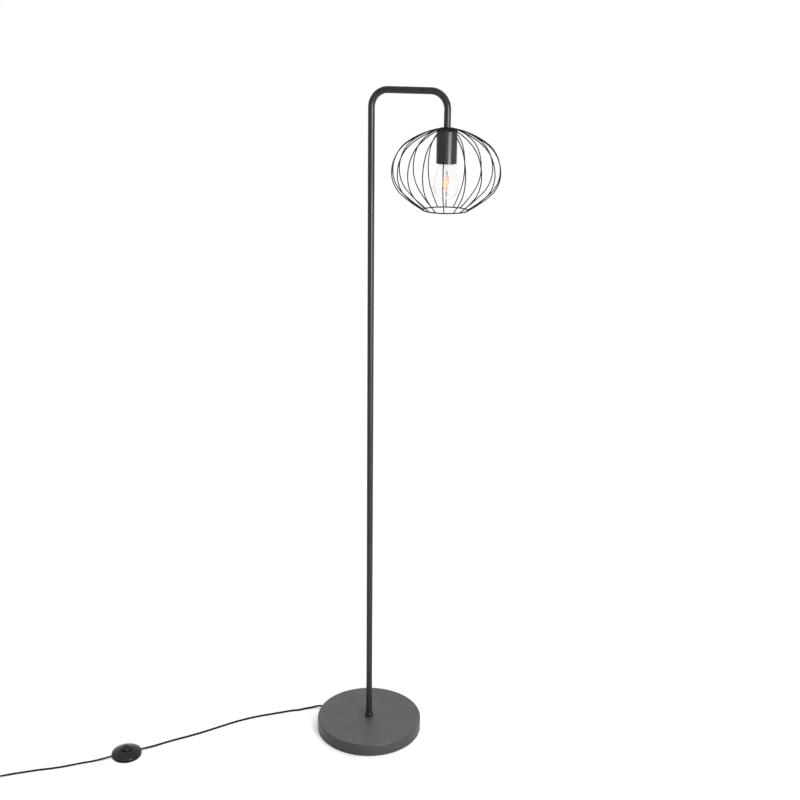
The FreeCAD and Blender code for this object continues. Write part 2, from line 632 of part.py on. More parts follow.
def make_filaments():
    """The glowing sticks with the wires that carry them, joined into one frame."""
    hub_z = BULB_RIM_Z - STEM_DROP
    top_z = BULB_RIM_Z - FILAMENT_TOP_DROP
    low_z = top_z - FILAMENT_LENGTH
    frame = cylinder(2 * LEAD_RADIUS, low_z - 1, hub_z, ARM_REACH)
    for index in range(FILAMENT_COUNT):
        angle = math.radians(FILAMENT_TURN + index * 360.0 / FILAMENT_COUNT)
        lean = math.radians(FILAMENT_TURN + index * 360.0 / FILAMENT_COUNT + 25)
        top = V(ARM_REACH + FILAMENT_CIRCLE * math.cos(angle), FILAMENT_CIRCLE * math.sin(angle), top_z)
        low = V(ARM_REACH + FILAMENT_CIRCLE * math.cos(lean), FILAMENT_CIRCLE * math.sin(lean), low_z)
        frame = frame.fuse(bar_between(top, low, FILAMENT_RADIUS))
        frame = frame.fuse(bar_between(V(ARM_REACH, 0, hub_z - 1), top + (low - top) * 0.02, LEAD_RADIUS))
        frame = frame.fuse(bar_between(V(ARM_REACH, 0, low_z - 0.4), low + (top - low) * 0.02, LEAD_RADIUS))
    return frame


# ---------------------------------------------------------------- foot switch
def placed_on_switch(shape):
    shape.rotate(V(0, 0, 0), UP, SWITCH_ANGLE)
    shape.translate(SWITCH_CENTRE)
    return shape


def crown_arc(bend, radius, top):
    """The middle and low end of an arc about the switch's axis that falls from its top."""
    half = math.asin(radius / bend) / 2
    middle = (bend * math.sin(half), top - bend * (1 - math.cos(half)))
    return middle, (radius, top - bend + math.sqrt(bend * bend - radius * radius))


def crown_bend(radius, rise):
    return (radius * radius + rise * rise) / (2 * rise)


def dome(inset):
    """The solid under the switch's domed top, from the seam up."""
    full = SWITCH_RADIUS - inset
    top = SWITCH_TOP_Z - inset
    bend = crown_bend(SWITCH_RADIUS, SWITCH_TOP_Z - SWITCH_EDGE_Z) - inset
    middle, edge = crown_arc(bend, full, top)
    solid = turned([(0.0, SWITCH_SEAM_Z), (full, SWITCH_SEAM_Z), edge, (middle, (0.0, top))])
    if inset < SWITCH_ROUNDING:
        solid = solid.makeFillet(SWITCH_ROUNDING - inset, circle_edges(solid, edge[1], full))
    return solid


def switch_cord_hole():
    length = 2 * SWITCH_RADIUS + 10
    start = V(-length / 2, 0, SWITCH_SEAM_Z)
    return Part.makeCylinder(CORD_RADIUS + CORD_CLEARANCE, length, start, V(1, 0, 0))


def make_switch_top():
    hole = BUTTON_RADIUS + RUNNING_CLEARANCE
    shell = dome(0.0).cut(dome(SWITCH_WALL))
    well = cylinder(WELL_RADIUS + WELL_WALL, WELL_FLOOR_Z - WELL_WALL, SWITCH_TOP_Z)
    shell = shell.fuse(well.common(dome(SWITCH_WALL / 2)))
    shell = shell.cut(cylinder(WELL_RADIUS, WELL_FLOOR_Z, 2 * SWITCH_TOP_Z))
    shell = shell.cut(cylinder(hole, SWITCH_SEAM_Z, 2 * SWITCH_TOP_Z))
    for way in (-1, 1):
        place = way * SWITCH_SCREW_PLACE
        boss = cylinder(SWITCH_BOSS_RADIUS, SWITCH_WALL + SMALL_GAP, SWITCH_TOP_Z, 0, place)
        core = dome(SWITCH_WALL / 2).fuse(cylinder(SWITCH_RADIUS, 0, SWITCH_SEAM_Z))
        shell = shell.fuse(boss.common(core))
    for way in (-1, 1):
        place = way * SWITCH_SCREW_PLACE
        pilot = SWITCH_SCREW_RADIUS + THREAD_CLEARANCE
        shell = shell.cut(cylinder(pilot, 0, SWITCH_SCREW_TIP_Z + 1, 0, place))
    return shell.cut(switch_cord_hole()).removeSplitter()


def make_switch_bottom():
    shell = cylinder(SWITCH_RADIUS, 0, SWITCH_SEAM_Z)
    shell = shell.makeFillet(1.2, circle_edges(shell, 0, SWITCH_RADIUS))
    shell = shell.cut(cylinder(SWITCH_RADIUS - SWITCH_WALL, SWITCH_WALL, SWITCH_SEAM_Z + 1))
    for way in (-1, 1):
        place = way * SWITCH_SCREW_PLACE
        shell = shell.cut(cylinder(SWITCH_SCREW_RADIUS + SMALL_GAP, -1, SWITCH_WALL + 1, 0, place))
        shell = shell.cut(cylinder(SWITCH_SCREW_HEAD + SMALL_GAP, -1, SWITCH_WALL / 2, 0, place))
    return shell.cut(switch_cord_hole())


def make_switch_screws():
    screws = []
    for way in (-1, 1):
        place = way * SWITCH_SCREW_PLACE
        head = cylinder(SWITCH_SCREW_HEAD, SMALL_GAP, SWITCH_WALL / 2, 0, place)
        shank = cylinder(SWITCH_SCREW_RADIUS, SWITCH_WALL / 2, SWITCH_SCREW_TIP_Z, 0, place)
        screws.append(head.fuse(shank).removeSplitter())
    return screws


def flange_top_z():
    return WELL_FLOOR_Z - WELL_WALL - RUNNING_CLEARANCE


def make_button():
    """A domed cap, hollow for the spring, with a stem that reaches down to the contacts."""
    top = flange_top_z()
    low = top - FLANGE_THICKNESS
    foot = block_top_z() + BUTTON_TRAVEL + 1
    inner = BUTTON_RADIUS - BUTTON_WALL
    bend = crown_bend(BUTTON_RADIUS, BUTTON_CROWN_Z - BUTTON_EDGE_Z)
    outline = [
        (0.0, BUTTON_CROWN_Z), crown_arc(bend, BUTTON_RADIUS, BUTTON_CROWN_Z), (BUTTON_RADIUS, top),
        (BUTTON_RADIUS + FLANGE_STEP - 0.5, top), (BUTTON_RADIUS + FLANGE_STEP - 0.5, low),
        (inner, low), (inner, BUTTON_CEILING_Z), (PLUNGER_RADIUS, BUTTON_CEILING_Z),
        (PLUNGER_RADIUS, foot), (0.0, foot),
    ]
    return turned(outline)


def block_top_z():
    return SWITCH_WALL + CONTACT_BLOCK[2]


def make_switch_spring():
    return tube(SPRING_RADIUS, SPRING_RADIUS - SPRING_WALL, block_top_z(), BUTTON_CEILING_Z)


def make_contact_block():
    long, wide, high = CONTACT_BLOCK
    return Part.makeBox(long, wide, high, V(-long / 2, -wide / 2, SWITCH_WALL))


# ---------------------------------------------------------------- cord
def make_inner_cord():
    """Down from the holder's terminals, through arm and pole, and out of the base's rear."""
    start = V(ARM_REACH, 0, HOLDER_CAP_Z)
    low_bend = ARM_AXIS_Z - BEND_RADIUS
    turn = STUD_FOOT_Z - CORD_EXIT_HEIGHT
    inset = turn * (1 - math.cos(math.radians(45)))
    inner = BEND_RADIUS * (1 - math.cos(math.radians(45)))
    far = ARM_REACH - BEND_RADIUS
    path = [
        Part.LineSegment(start, V(ARM_REACH, 0, low_bend)).toShape(),
        Part.Arc(V(ARM_REACH, 0, low_bend), V(ARM_REACH - inner, 0, ARM_AXIS_Z - inner),
                 V(far, 0, ARM_AXIS_Z)).toShape(),
        Part.LineSegment(V(far, 0, ARM_AXIS_Z), V(BEND_RADIUS, 0, ARM_AXIS_Z)).toShape(),
        Part.Arc(V(BEND_RADIUS, 0, ARM_AXIS_Z), V(inner, 0, ARM_AXIS_Z - inner), V(0, 0, low_bend)).toShape(),
        Part.LineSegment(V(0, 0, low_bend), V(0, 0, STUD_FOOT_Z)).toShape(),
        Part.Arc(V(0, 0, STUD_FOOT_Z), EXIT_DIRECTION * inset + UP * (CORD_EXIT_HEIGHT + inset),
                 EXIT_DIRECTION * turn + EXIT_AXIS).toShape(),
        Part.LineSegment(EXIT_DIRECTION * turn + EXIT_AXIS, CORD_ORIGIN + EXIT_AXIS).toShape(),
    ]
    return checked_cord("cord_inside_lamp", path, swept(path, CORD_RADIUS), [BEND_RADIUS, turn])


def switch_port(way, distance):
    return SWITCH_CENTRE + SWITCH_DIRECTION * (way * distance) + UP * SWITCH_SEAM_Z


def make_feed_cord():
    places = [CORD_ORIGIN + EXIT_AXIS, CORD_ORIGIN + EXIT_DIRECTION * CORD_LEAD + EXIT_AXIS]
    places += [CORD_ORIGIN + V(*place) for place in FEED_ROUTE]
    places += [switch_port(1, SWITCH_RADIUS + 5), switch_port(1, CONTACT_BLOCK[0] / 2)]
    path, radii = rounded_path(places)
    return checked_cord("cord_base_to_switch", path, swept(path, CORD_RADIUS), radii)


def make_lead_cord():
    heading = math.radians(COIL_HEADING)
    arrival = coil_start() + UP * coil_low_z()
    back = V(math.cos(heading), math.sin(heading), 0) * -12
    places = [switch_port(-1, CONTACT_BLOCK[0] / 2), switch_port(-1, SWITCH_RADIUS + 5)]
    places += [CORD_ORIGIN + V(*place) for place in LEAD_ROUTE]
    places += [arrival + back, arrival]
    path, radii = rounded_path(places)
    return checked_cord("cord_switch_to_coil", path, swept(path, CORD_RADIUS), radii)


def coil_low_z():
    return CORD_RADIUS + TIE_BAND + SMALL_GAP


def coil_start():
    return CORD_ORIGIN + V(COIL_START[0], COIL_START[1], 0)


def coil_centre():
    sideways = math.radians(COIL_HEADING + 90)
    return coil_start() + V(math.cos(sideways), math.sin(sideways), 0) * COIL_RADIUS


def coil_place(quarter):
    """The middle of the cord after so many quarter turns: in on the floor, up, and out on top."""
    turning = COIL_QUARTERS_IN + COIL_QUARTERS_CLIMB / 2
    inward = min(quarter, turning)
    outward = max(0.0, quarter - turning)
    radius = COIL_RADIUS - COIL_PITCH * (inward - outward) / 4
    share = min(max((quarter - COIL_QUARTERS_IN) / COIL_QUARTERS_CLIMB, 0.0), 1.0)
    z = coil_low_z() + COIL_LAYER * share * share * (3 - 2 * share)
    angle = math.radians(COIL_HEADING - 90 + 90 * quarter)
    return coil_centre() + V(radius * math.cos(angle), radius * math.sin(angle), z)


def make_coil():
    total = COIL_QUARTERS_IN + COIL_QUARTERS_CLIMB + COIL_QUARTERS_OUT
    step = 0.01
    places = [coil_place(quarter) for quarter in range(total + 1)]
    headings = []
    for quarter in range(total + 1):
        heading = coil_place(quarter + step) - coil_place(quarter - step)
        headings.append(heading.normalize())
    first = math.radians(COIL_HEADING)
    headings[0] = V(math.cos(first), math.sin(first), 0)
    lead_in = headings[0] * (2 * CORD_RADIUS)
    last = math.radians(COIL_HEADING + 90 * total)
    headings[-1] = V(math.cos(last), math.sin(last), 0)
    path = [Part.LineSegment(places[0], places[0] + lead_in * 0.5).toShape()]
    places[0] = places[0] + lead_in * 0.5
    for quarter in range(total):
        path += biarc(places[quarter], headings[quarter], places[quarter + 1], headings[quarter + 1])
    tail_start = places[-1] + headings[-1] * (2 * CORD_RADIUS)
    path.append(Part.LineSegment(places[-1], tail_start).toShape())
    low_point = plug_cord_end() - headings[-1] * (2 * CORD_RADIUS)
    sink = (low_point - tail_start).normalize()
    path += biarc(tail_start, headings[-1], (tail_start + low_point) * 0.5, sink_heading(headings[-1], sink))
    path += biarc((tail_start + low_point) * 0.5, sink_heading(headings[-1], sink), low_point, headings[-1])
    path.append(Part.LineSegment(low_point, plug_cord_end()).toShape())
    report_least_gap(path)
    return checked_cord("cord_coil", path, swept(path, CORD_RADIUS))


def sink_heading(level, sink):
    return (sink * 2 - level).normalize()


def report_least_gap(path):
    """Prints the least space between one turn of the cord and another, measured on points."""
    points = []
    along = 0.0
    for edge in path:
        count = max(2, int(edge.Length / 1.5))
        for i in range(count):
            points.append((along + edge.Length * i / count, edge.valueAt(
                edge.FirstParameter + (edge.LastParameter - edge.FirstParameter) * i / count)))
        along += edge.Length
    nearest = 1e9
    for i in range(len(points)):
        for j in range(i + 1, len(points)):
            if points[j][0] - points[i][0] > 12 * CORD_RADIUS:
                nearest = min(nearest, points[i][1].distanceToPoint(points[j][1]))
    print(f"cord_coil: least gap to itself {nearest - 2 * CORD_RADIUS:.2f}")


def exit_heading():
    total = COIL_QUARTERS_IN + COIL_QUARTERS_CLIMB + COIL_QUARTERS_OUT
    last = math.radians(COIL_HEADING + 90 * total)
    return V(math.cos(last), math.sin(last), 0)


def plug_cord_end():
    total = COIL_QUARTERS_IN + COIL_QUARTERS_CLIMB + COIL_QUARTERS_OUT
    end = coil_place(total) + exit_heading() * COIL_TAIL
    return V(end.x, end.y, PLUG_THICKNESS / 2)


def make_tie():
    """A flat band closed round all the turns on one side of the coil."""
    slack = 2 * SMALL_GAP
    turns_in = (COIL_QUARTERS_IN + COIL_QUARTERS_CLIMB / 2) / 4
    inner_x = COIL_RADIUS - COIL_PITCH * turns_in - CORD_RADIUS - slack
    outer_x = COIL_RADIUS + COIL_PITCH / 4 + CORD_RADIUS + slack
    low_z = TIE_BAND
    high_z = coil_low_z() + COIL_LAYER + CORD_RADIUS + slack
    outer = Part.makeBox(outer_x - inner_x + 2 * TIE_BAND, TIE_WIDTH, high_z - low_z + 2 * TIE_BAND,
                         V(inner_x - TIE_BAND, -TIE_WIDTH / 2, 0))
    inner = Part.makeBox(outer_x - inner_x, TIE_WIDTH + 2, high_z - low_z,
                         V(inner_x, -TIE_WIDTH / 2 - 1, low_z))
    band = outer.cut(inner)
    band.rotate(V(0, 0, 0), UP, COIL_HEADING - 90 + TIE_ANGLE)
    band.translate(coil_centre())
    return band


# ---------------------------------------------------------------- plug
def on_plug(shape):
    """Places a shape built with the cord's end at the origin and the pins along +X."""
    heading = math.degrees(math.atan2(exit_heading().y, exit_heading().x))
    shape.rotate(V(0, 0, 0), UP, heading)
    shape.translate(plug_cord_end())
    return shape


def make_plug_body():
    half_width = PLUG_WIDTH / 2
    half_nose = PLUG_NOSE_WIDTH / 2
    shoulder = PLUG_BOOT + PLUG_LENGTH * 0.35
    end = PLUG_BOOT + PLUG_LENGTH
    outline = [V(PLUG_BOOT, -half_nose / 2, 0), V(shoulder, -half_width, 0), V(end, -half_nose, 0),
               V(end, half_nose, 0), V(shoulder, half_width, 0), V(PLUG_BOOT, half_nose / 2, 0)]
    block = Part.Face(Part.makePolygon(outline + outline[:1])).extrude(V(0, 0, PLUG_THICKNESS))
    block.translate(V(0, 0, -PLUG_THICKNESS / 2))
    block = block.makeFillet(PLUG_ROUNDING, block.Edges)
    boot = Part.makeCone(CORD_RADIUS + 0.8, PLUG_BOOT_RADIUS, PLUG_BOOT + 2, V(0, 0, 0), V(1, 0, 0))
    body = block.fuse(boot)
    for way in (-1, 1):
        seat = V(end - PIN_SEAT, way * PIN_SPACING / 2, 0)
        body = body.cut(Part.makeCylinder(PIN_RADIUS, PIN_SEAT + 1, seat, V(1, 0, 0)))
    return on_plug(body)


def make_plug_pins():
    pins = []
    for way in (-1, 1):
        seat = V(PLUG_BOOT + PLUG_LENGTH - PIN_SEAT, way * PIN_SPACING / 2, 0)
        pin = Part.makeCylinder(PIN_RADIUS, PIN_SEAT + PIN_LENGTH, seat, V(1, 0, 0))
        tip = [edge for edge in pin.Edges if isinstance(edge.Curve, Part.Circle)
               and edge.Curve.Center.x > seat.x + PIN_SEAT]
        pins.append(on_plug(pin.makeFillet(1.2, tip)))
    return pins


# ---------------------------------------------------------------- all pieces, and their files
def all_pieces():
    pieces = {
        "base_cover": make_base_cover(),
        "base_weight": make_base_weight(),
        "base_pad": cylinder(PAD_RADIUS, 0, PAD_THICKNESS),
        "base_stud": tube(PIPE_RADIUS, PIPE_BORE, STUD_FOOT_Z, POLE_FOOT_Z + PIPE_REACH),
        "cord_boot": make_cord_boot(),
        "cord_clamp": make_cord_clamp(),
        "cord_clamp_screws": make_clamp_screws(),
        "foot_collar": make_foot_collar(),
        "pole_lower": make_pole_section(0),
        "pole_middle": make_pole_section(1),
        "pole_upper": make_pole_section(2),
        "pole_arm": make_arm(),
        "pole_end_bushes": make_end_bushes(),
        "pole_joint_pipes": make_joint_pipes(),
        "pipe_nuts": make_pipe_nuts(),
        "pipe_washers": make_pipe_washers(),
        "shade_plate": tube(RING_PLATE_RADIUS, HOLE_RADIUS, PLATE_Z, HANG_Z, ARM_REACH),
        "shade_lower_ring": make_lower_ring(),
        "holder_nipple": tube(PIPE_RADIUS, PIPE_BORE, HANG_Z - NIPPLE_DROP, HANG_Z + PIPE_REACH, ARM_REACH),
        "holder_cup": make_cup(),
        "holder_cap": make_holder_cap(),
        "holder_body": make_holder_body(),
        "holder_thread_shell": make_thread_shell(),
        "holder_contact": make_holder_contact(),
        "bulb_glass": make_glass(),
        "bulb_cap": make_bulb_cap(),
        "bulb_contact": make_bulb_contact(),
        "bulb_stem": make_stem(),
        "bulb_filaments": make_filaments(),
        "switch_top": placed_on_switch(make_switch_top()),
        "switch_bottom": placed_on_switch(make_switch_bottom()),
        "switch_button": placed_on_switch(make_button()),
        "switch_spring": placed_on_switch(make_switch_spring()),
        "switch_contact_block": placed_on_switch(make_contact_block()),
        "switch_screws": [placed_on_switch(screw) for screw in make_switch_screws()],
        "cord_inside_lamp": make_inner_cord(),
        "cord_base_to_switch": make_feed_cord(),
        "cord_switch_to_coil": make_lead_cord(),
        "cord_coil": make_coil(),
        "cord_tie": make_tie(),
        "plug_body": make_plug_body(),
        "plug_pins": make_plug_pins(),
    }
    for index in range(RIB_COUNT):
        pieces[f"shade_rib_{index + 1:02d}"] = make_rib(index)
    return pieces


def main():
    os.makedirs("parts", exist_ok=True)
    pieces = all_pieces()
    for node, shape in pieces.items():
        if isinstance(shape, list):
            shape = Part.makeCompound(shape)
        solids = shape.Solids
        good = shape.isValid() and all(solid.isClosed() for solid in solids)
        print(f"{node}: solids {len(solids)}, volume {shape.Volume:.0f}, {'ok' if good else 'NOT VALID'}")
        if len(solids) == 1:
            shape = solids[0]
        shape.exportStep(f"parts/{node}.step")
    print("nodes", len(pieces))


main()
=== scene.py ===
import math

import bmesh
import bpy
from mathutils import Matrix, Vector


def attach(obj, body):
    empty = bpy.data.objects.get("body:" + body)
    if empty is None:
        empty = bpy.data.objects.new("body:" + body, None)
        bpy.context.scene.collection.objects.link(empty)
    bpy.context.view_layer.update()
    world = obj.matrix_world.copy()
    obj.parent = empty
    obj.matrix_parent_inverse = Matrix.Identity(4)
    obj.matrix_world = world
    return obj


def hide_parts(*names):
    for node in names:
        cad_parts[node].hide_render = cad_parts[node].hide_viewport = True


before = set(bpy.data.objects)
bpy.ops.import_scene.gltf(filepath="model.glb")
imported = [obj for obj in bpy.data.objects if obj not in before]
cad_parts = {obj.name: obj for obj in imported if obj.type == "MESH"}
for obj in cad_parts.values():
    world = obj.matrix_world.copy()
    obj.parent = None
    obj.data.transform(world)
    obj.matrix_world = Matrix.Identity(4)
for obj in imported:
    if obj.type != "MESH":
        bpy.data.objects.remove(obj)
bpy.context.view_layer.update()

# Wire cage floor lamp.  The lamp's lengths are in millimetres and turn into metres where a mesh is
# made.  The origin is on the floor at the pole's axis, +Z is up and the arm runs along +X.
MM = 0.001
UP = Vector((0, 0, 1))
HEAD = Vector((184.0, 0, 0))

# -------- camera
CAMERA_PLACE = Vector((948.81, -2568.79, 1813.09))
CAMERA_YAW = 0.3267
CAMERA_PITCH = 0.3083
CAMERA_ROLL = 0.0121
CAMERA_LENS = 51.68


def make_camera():
    forward = Vector((-math.sin(CAMERA_YAW) * math.cos(CAMERA_PITCH),
                      math.cos(CAMERA_YAW) * math.cos(CAMERA_PITCH), -math.sin(CAMERA_PITCH)))
    level = Vector((math.cos(CAMERA_YAW), math.sin(CAMERA_YAW), 0))
    above = level.cross(forward)
    right = level * math.cos(CAMERA_ROLL) + above * math.sin(CAMERA_ROLL)
    top = above * math.cos(CAMERA_ROLL) - level * math.sin(CAMERA_ROLL)
    data = bpy.data.cameras.new("camera")
    data.sensor_width = 36.0
    data.lens = CAMERA_LENS
    data.clip_end = 200.0
    camera = bpy.data.objects.new("camera", data)
    bpy.context.scene.collection.objects.link(camera)
    turn = Matrix((right, top, -forward)).transposed()
    camera.matrix_world = Matrix.Translation(CAMERA_PLACE * MM) @ turn.to_4x4()
    bpy.context.scene.camera = camera


make_camera()

# -------- materials


class Shader:
    """A Principled material with the few node helpers that the finishes below share."""

    def __init__(self, name, colour, roughness, metallic=0.0, specular=0.5):
        self.material = bpy.data.materials.new(name)
        self.material.use_nodes = True
        self.nodes = self.material.node_tree.nodes
        self.links = self.material.node_tree.links
        self.bsdf = self.nodes["Principled BSDF"]
        self.set("Base Color", (*colour, 1.0))
        self.set("Roughness", roughness)
        self.set("Metallic", metallic)
        self.set("Specular IOR Level", specular)
        self.roughness = roughness
        self.place = self.nodes.new("ShaderNodeTexCoord").outputs["Object"]
        self.normal = None

    def set(self, name, value):
        self.bsdf.inputs[name].default_value = value

    def noise(self, scale, detail=3.0, stretch=(1, 1, 1), distortion=0.0):
        mapping = self.nodes.new("ShaderNodeMapping")
        mapping.inputs["Scale"].default_value = stretch
        self.links.new(self.place, mapping.inputs["Vector"])
        node = self.nodes.new("ShaderNodeTexNoise")
        node.inputs["Scale"].default_value = scale
        node.inputs["Detail"].default_value = detail
        node.inputs["Distortion"].default_value = distortion
        self.links.new(mapping.outputs["Vector"], node.inputs["Vector"])
        return node.outputs["Fac"]

    def ranged(self, source, low, high, start=0.35, end=0.65):
        node = self.nodes.new("ShaderNodeMapRange")
        node.inputs["From Min"].default_value = start
        node.inputs["From Max"].default_value = end
        node.inputs["To Min"].default_value = low
        node.inputs["To Max"].default_value = high
        self.links.new(source, node.inputs["Value"])
        return node.outputs["Result"]

    def calculated(self, operation, one, two):
        node = self.nodes.new("ShaderNodeMath")
        node.operation = operation
        for socket, value in zip(node.inputs, (one, two)):
            if isinstance(value, (int, float)):
                socket.default_value = value
            else:
                self.links.new(value, socket)
        return node.outputs["Value"]

    def mixed(self, share, one, two):
        node = self.nodes.new("ShaderNodeMix")
        node.data_type = "RGBA"
        self.links.new(share, node.inputs[0])
        for socket, value in zip((node.inputs[6], node.inputs[7]), (one, two)):
            if isinstance(value, tuple):
                socket.default_value = (*value, 1.0)
            else:
                self.links.new(value, socket)
        return node.outputs[2]

    def worn_edges(self, start=0.52, end=0.62):
        """1 on the sharp outer edges, 0 elsewhere."""
        geometry = self.nodes.new("ShaderNodeNewGeometry")
        return self.ranged(geometry.outputs["Pointiness"], 0.0, 1.0, start, end)

    def facing_up(self):
        """1 where the surface faces up, 0 on its sides and underneath."""
        geometry = self.nodes.new("ShaderNodeNewGeometry")
        split = self.nodes.new("ShaderNodeSeparateXYZ")
        self.links.new(geometry.outputs["Normal"], split.inputs["Vector"])
        return self.ranged(split.outputs["Z"], 0.0, 1.0, 0.55, 0.98)

    def bump(self, height, distance, strength=1.0):
        node = self.nodes.new("ShaderNodeBump")
        node.inputs["Strength"].default_value = strength
        node.inputs["Distance"].default_value = distance
        self.links.new(height, node.inputs["Height"])
        if self.normal is not None:
            self.links.new(self.normal, node.inputs["Normal"])
        self.normal = node.outputs["Normal"]
        self.links.new(self.normal, self.bsdf.inputs["Normal"])

    def into(self, name, source):
        self.links.new(source, self.bsdf.inputs[name])

    def clouded_gloss(self, cloud, fine, down, up, ripple):
        """The roughness drifts with the cloud, from down below to up above, and ripples finely."""
        drift = self.ranged(cloud, self.roughness - down, self.roughness + up)
        self.into("Roughness", self.calculated("ADD", drift, self.ranged(fine, -ripple, ripple)))


def scaled(colour, factor):
    return tuple(min(1.0, channel * factor) for channel in colour)


def coated(name, colour, roughness, specular, dust_and_sheen=None):
    """Satin powder coat: fine orange peel, cloudy gloss, rubbed edges, and pale dusty patches on what faces
    up that are partly a dusty film and partly painted sheen.
    """
    shader = Shader(name, colour, roughness, specular=specular)
    cloud = shader.noise(9.0, 4.0)
    fine = shader.noise(420.0, 2.0)
    grain = shader.noise(1500.0, 2.0)
    shade = shader.mixed(shader.ranged(cloud, 0.0, 1.0), scaled(colour, 0.86), scaled(colour, 1.3))
    # Painted sheen: what faces up turns towards a pale dusty colour, partly a dusty film and partly the light
    # that the top faces catch.
    if dust_and_sheen:
        dusty_sheen_patches = shader.ranged(shader.noise(14.0, 5.0, (1, 1.8, 1), 0.6), 0.72, 1.0, 0.3, 0.7)
        shade = shader.mixed(shader.calculated("MULTIPLY", shader.facing_up(), dusty_sheen_patches), shade, dust_and_sheen)
    speck = shader.ranged(grain, 0.0, 1.0, 0.62, 0.74)
    shade = shader.mixed(shader.calculated("MULTIPLY", speck, 0.25), shade, scaled(colour, 3.0))
    shade = shader.mixed(shader.calculated("MULTIPLY", shader.worn_edges(), 0.35), shade, scaled(colour, 3.2))
    shader.into("Base Color", shade)
    shader.clouded_gloss(cloud, fine, 0.05, 0.05, 0.03)
    shader.bump(fine, 0.00012, 0.5)
    shader.bump(grain, 0.00003, 0.6)
    return shader.material


def moulded(name, colour, roughness, grain_scale=900.0, grain_depth=0.00005, specular=0.5):
    """Moulded plastic or rubber with a fine eroded grain and handling marks."""
    shader = Shader(name, colour, roughness, specular=specular)
    cloud = shader.noise(35.0, 4.0)
    grain = shader.noise(grain_scale, 3.0)
    shade = shader.mixed(shader.ranged(cloud, 0.0, 1.0), scaled(colour, 0.85), scaled(colour, 1.25))
    shade = shader.mixed(shader.calculated("MULTIPLY", shader.worn_edges(), 0.3), shade, scaled(colour, 2.2))
    shader.into("Base Color", shade)
    shader.clouded_gloss(cloud, grain, 0.06, 0.06, 0.04)
    shader.bump(grain, grain_depth, 0.7)
    return shader.material


def metal(name, colour, roughness, stretch=(1, 1, 12), tarnish=0.75):
    """Plated or bare metal with drawn marks along one way and a little tarnish."""
    shader = Shader(name, colour, roughness, metallic=1.0)
    cloud = shader.noise(60.0, 4.0)
    marks = shader.noise(700.0, 2.0, stretch)
    shader.into("Base Color", shader.mixed(shader.ranged(cloud, 0.0, 1.0), scaled(colour, tarnish), colour))
    shader.clouded_gloss(cloud, marks, 0.05, 0.08, 0.05)
    shader.bump(marks, 0.00002, 0.5)
    return shader.material


def clear_glass(name):
    """Clear bulb glass.  Rays from the lamps go straight through it, so what is inside stays lit."""
    shader = Shader(name, (0.972, 0.975, 0.972), 0.0)
    shader.set("Transmission Weight", 1.0)
    shader.set("IOR", 1.45)
    smear = shader.noise(45.0, 3.0)
    shader.into("Roughness", shader.ranged(smear, 0.0, 0.012, 0.5, 0.75))
    wave = shader.noise(28.0, 1.0)
    shader.bump(wave, 0.00004, 0.1)
    path = shader.nodes.new("ShaderNodeLightPath")
    through = shader.nodes.new("ShaderNodeBsdfTransparent")
    both = shader.nodes.new("ShaderNodeMixShader")
    output = shader.nodes["Material Output"]
    shader.links.new(path.outputs["Is Shadow Ray"], both.inputs[0])
    shader.links.new(shader.bsdf.outputs[0], both.inputs[1])
    shader.links.new(through.outputs[0], both.inputs[2])
    shader.links.new(both.outputs[0], output.inputs["Surface"])
    return shader.material


def phosphor(name, colour):
    """The resin coat of the light sticks, with its slightly uneven thickness."""
    shader = Shader(name, colour, 0.45)
    lumps = shader.noise(900.0, 2.0)
    shader.into("Base Color", shader.mixed(shader.ranged(lumps, 0.0, 1.0), scaled(colour, 0.85), colour))
    shader.set("Subsurface Weight", 0.15)
    shader.set("Subsurface Scale", 0.001)
    shader.bump(lumps, 0.0001, 0.6)
    return shader.material


def sheathed(name, colour, roughness, specular):
    """Soft cord sheath: satin, with draw marks, scuffs and a faint dusty film from the floor."""
    shader = Shader(name, colour, roughness, specular=specular)
    cloud = shader.noise(50.0, 4.0)
    scuff = shader.noise(500.0, 3.0)
    shader.into("Base Color", shader.mixed(shader.ranged(cloud, 0.0, 1.0), scaled(colour, 0.8),
                                           scaled(colour, 1.5)))
    shader.clouded_gloss(cloud, scuff, 0.05, 0.08, 0.05)
    shader.bump(scuff, 0.00006, 0.6)
    return shader.material


def grey(level):
    return level, level, level


FRAME_BLACK = coated("frame_black", (0.010, 0.010, 0.0105), 0.33, 0.24)
# The base's coat is lightened on what faces up: partly a dusty film, partly painted sheen of its lit top.
BASE_BLACK = coated("base_black", (0.014, 0.0139, 0.0139), 0.44, 0.42, (0.066, 0.065, 0.0645))
WIRE_BLACK = coated("wire_black", (0.006, 0.0027, 0.0018), 0.36, 0.10)
SWITCH_PLASTIC = moulded("switch_plastic", grey(0.006), 0.25, specular=0.26)
# Painted shade: the bottom shell's black plastic is made darker still, standing in for the shadow where the
# switch meets the floor.
SWITCH_BOTTOM_SHADED = moulded("switch_bottom_shaded", grey(0.002), 0.5, specular=0.04)
HOLDER_PLASTIC = moulded("holder_plastic", grey(0.012), 0.42, specular=0.35)
BOOT_RUBBER = moulded("boot_rubber", grey(0.006), 0.6, 600.0, specular=0.2)
TIE_PLASTIC = moulded("tie_plastic", grey(0.010), 0.55, 1400.0, specular=0.3)
CLAMP_PLASTIC = moulded("clamp_plastic", grey(0.04), 0.5)
PAD_FOAM = moulded("pad_foam", grey(0.02), 0.85, 500.0, 0.0003)
CORD_SHEATH = sheathed("cord_sheath", grey(0.0025), 0.42, 0.07)
PLUG_PLASTIC = moulded("plug_plastic", grey(0.006), 0.40, specular=0.25)
ZINC = metal("zinc_steel", (0.62, 0.62, 0.60), 0.32)
BRASS = metal("contact_brass", (0.78, 0.60, 0.28), 0.28)
NICKEL = metal("bulb_nickel", (0.74, 0.72, 0.68), 0.24, (1, 1, 1))
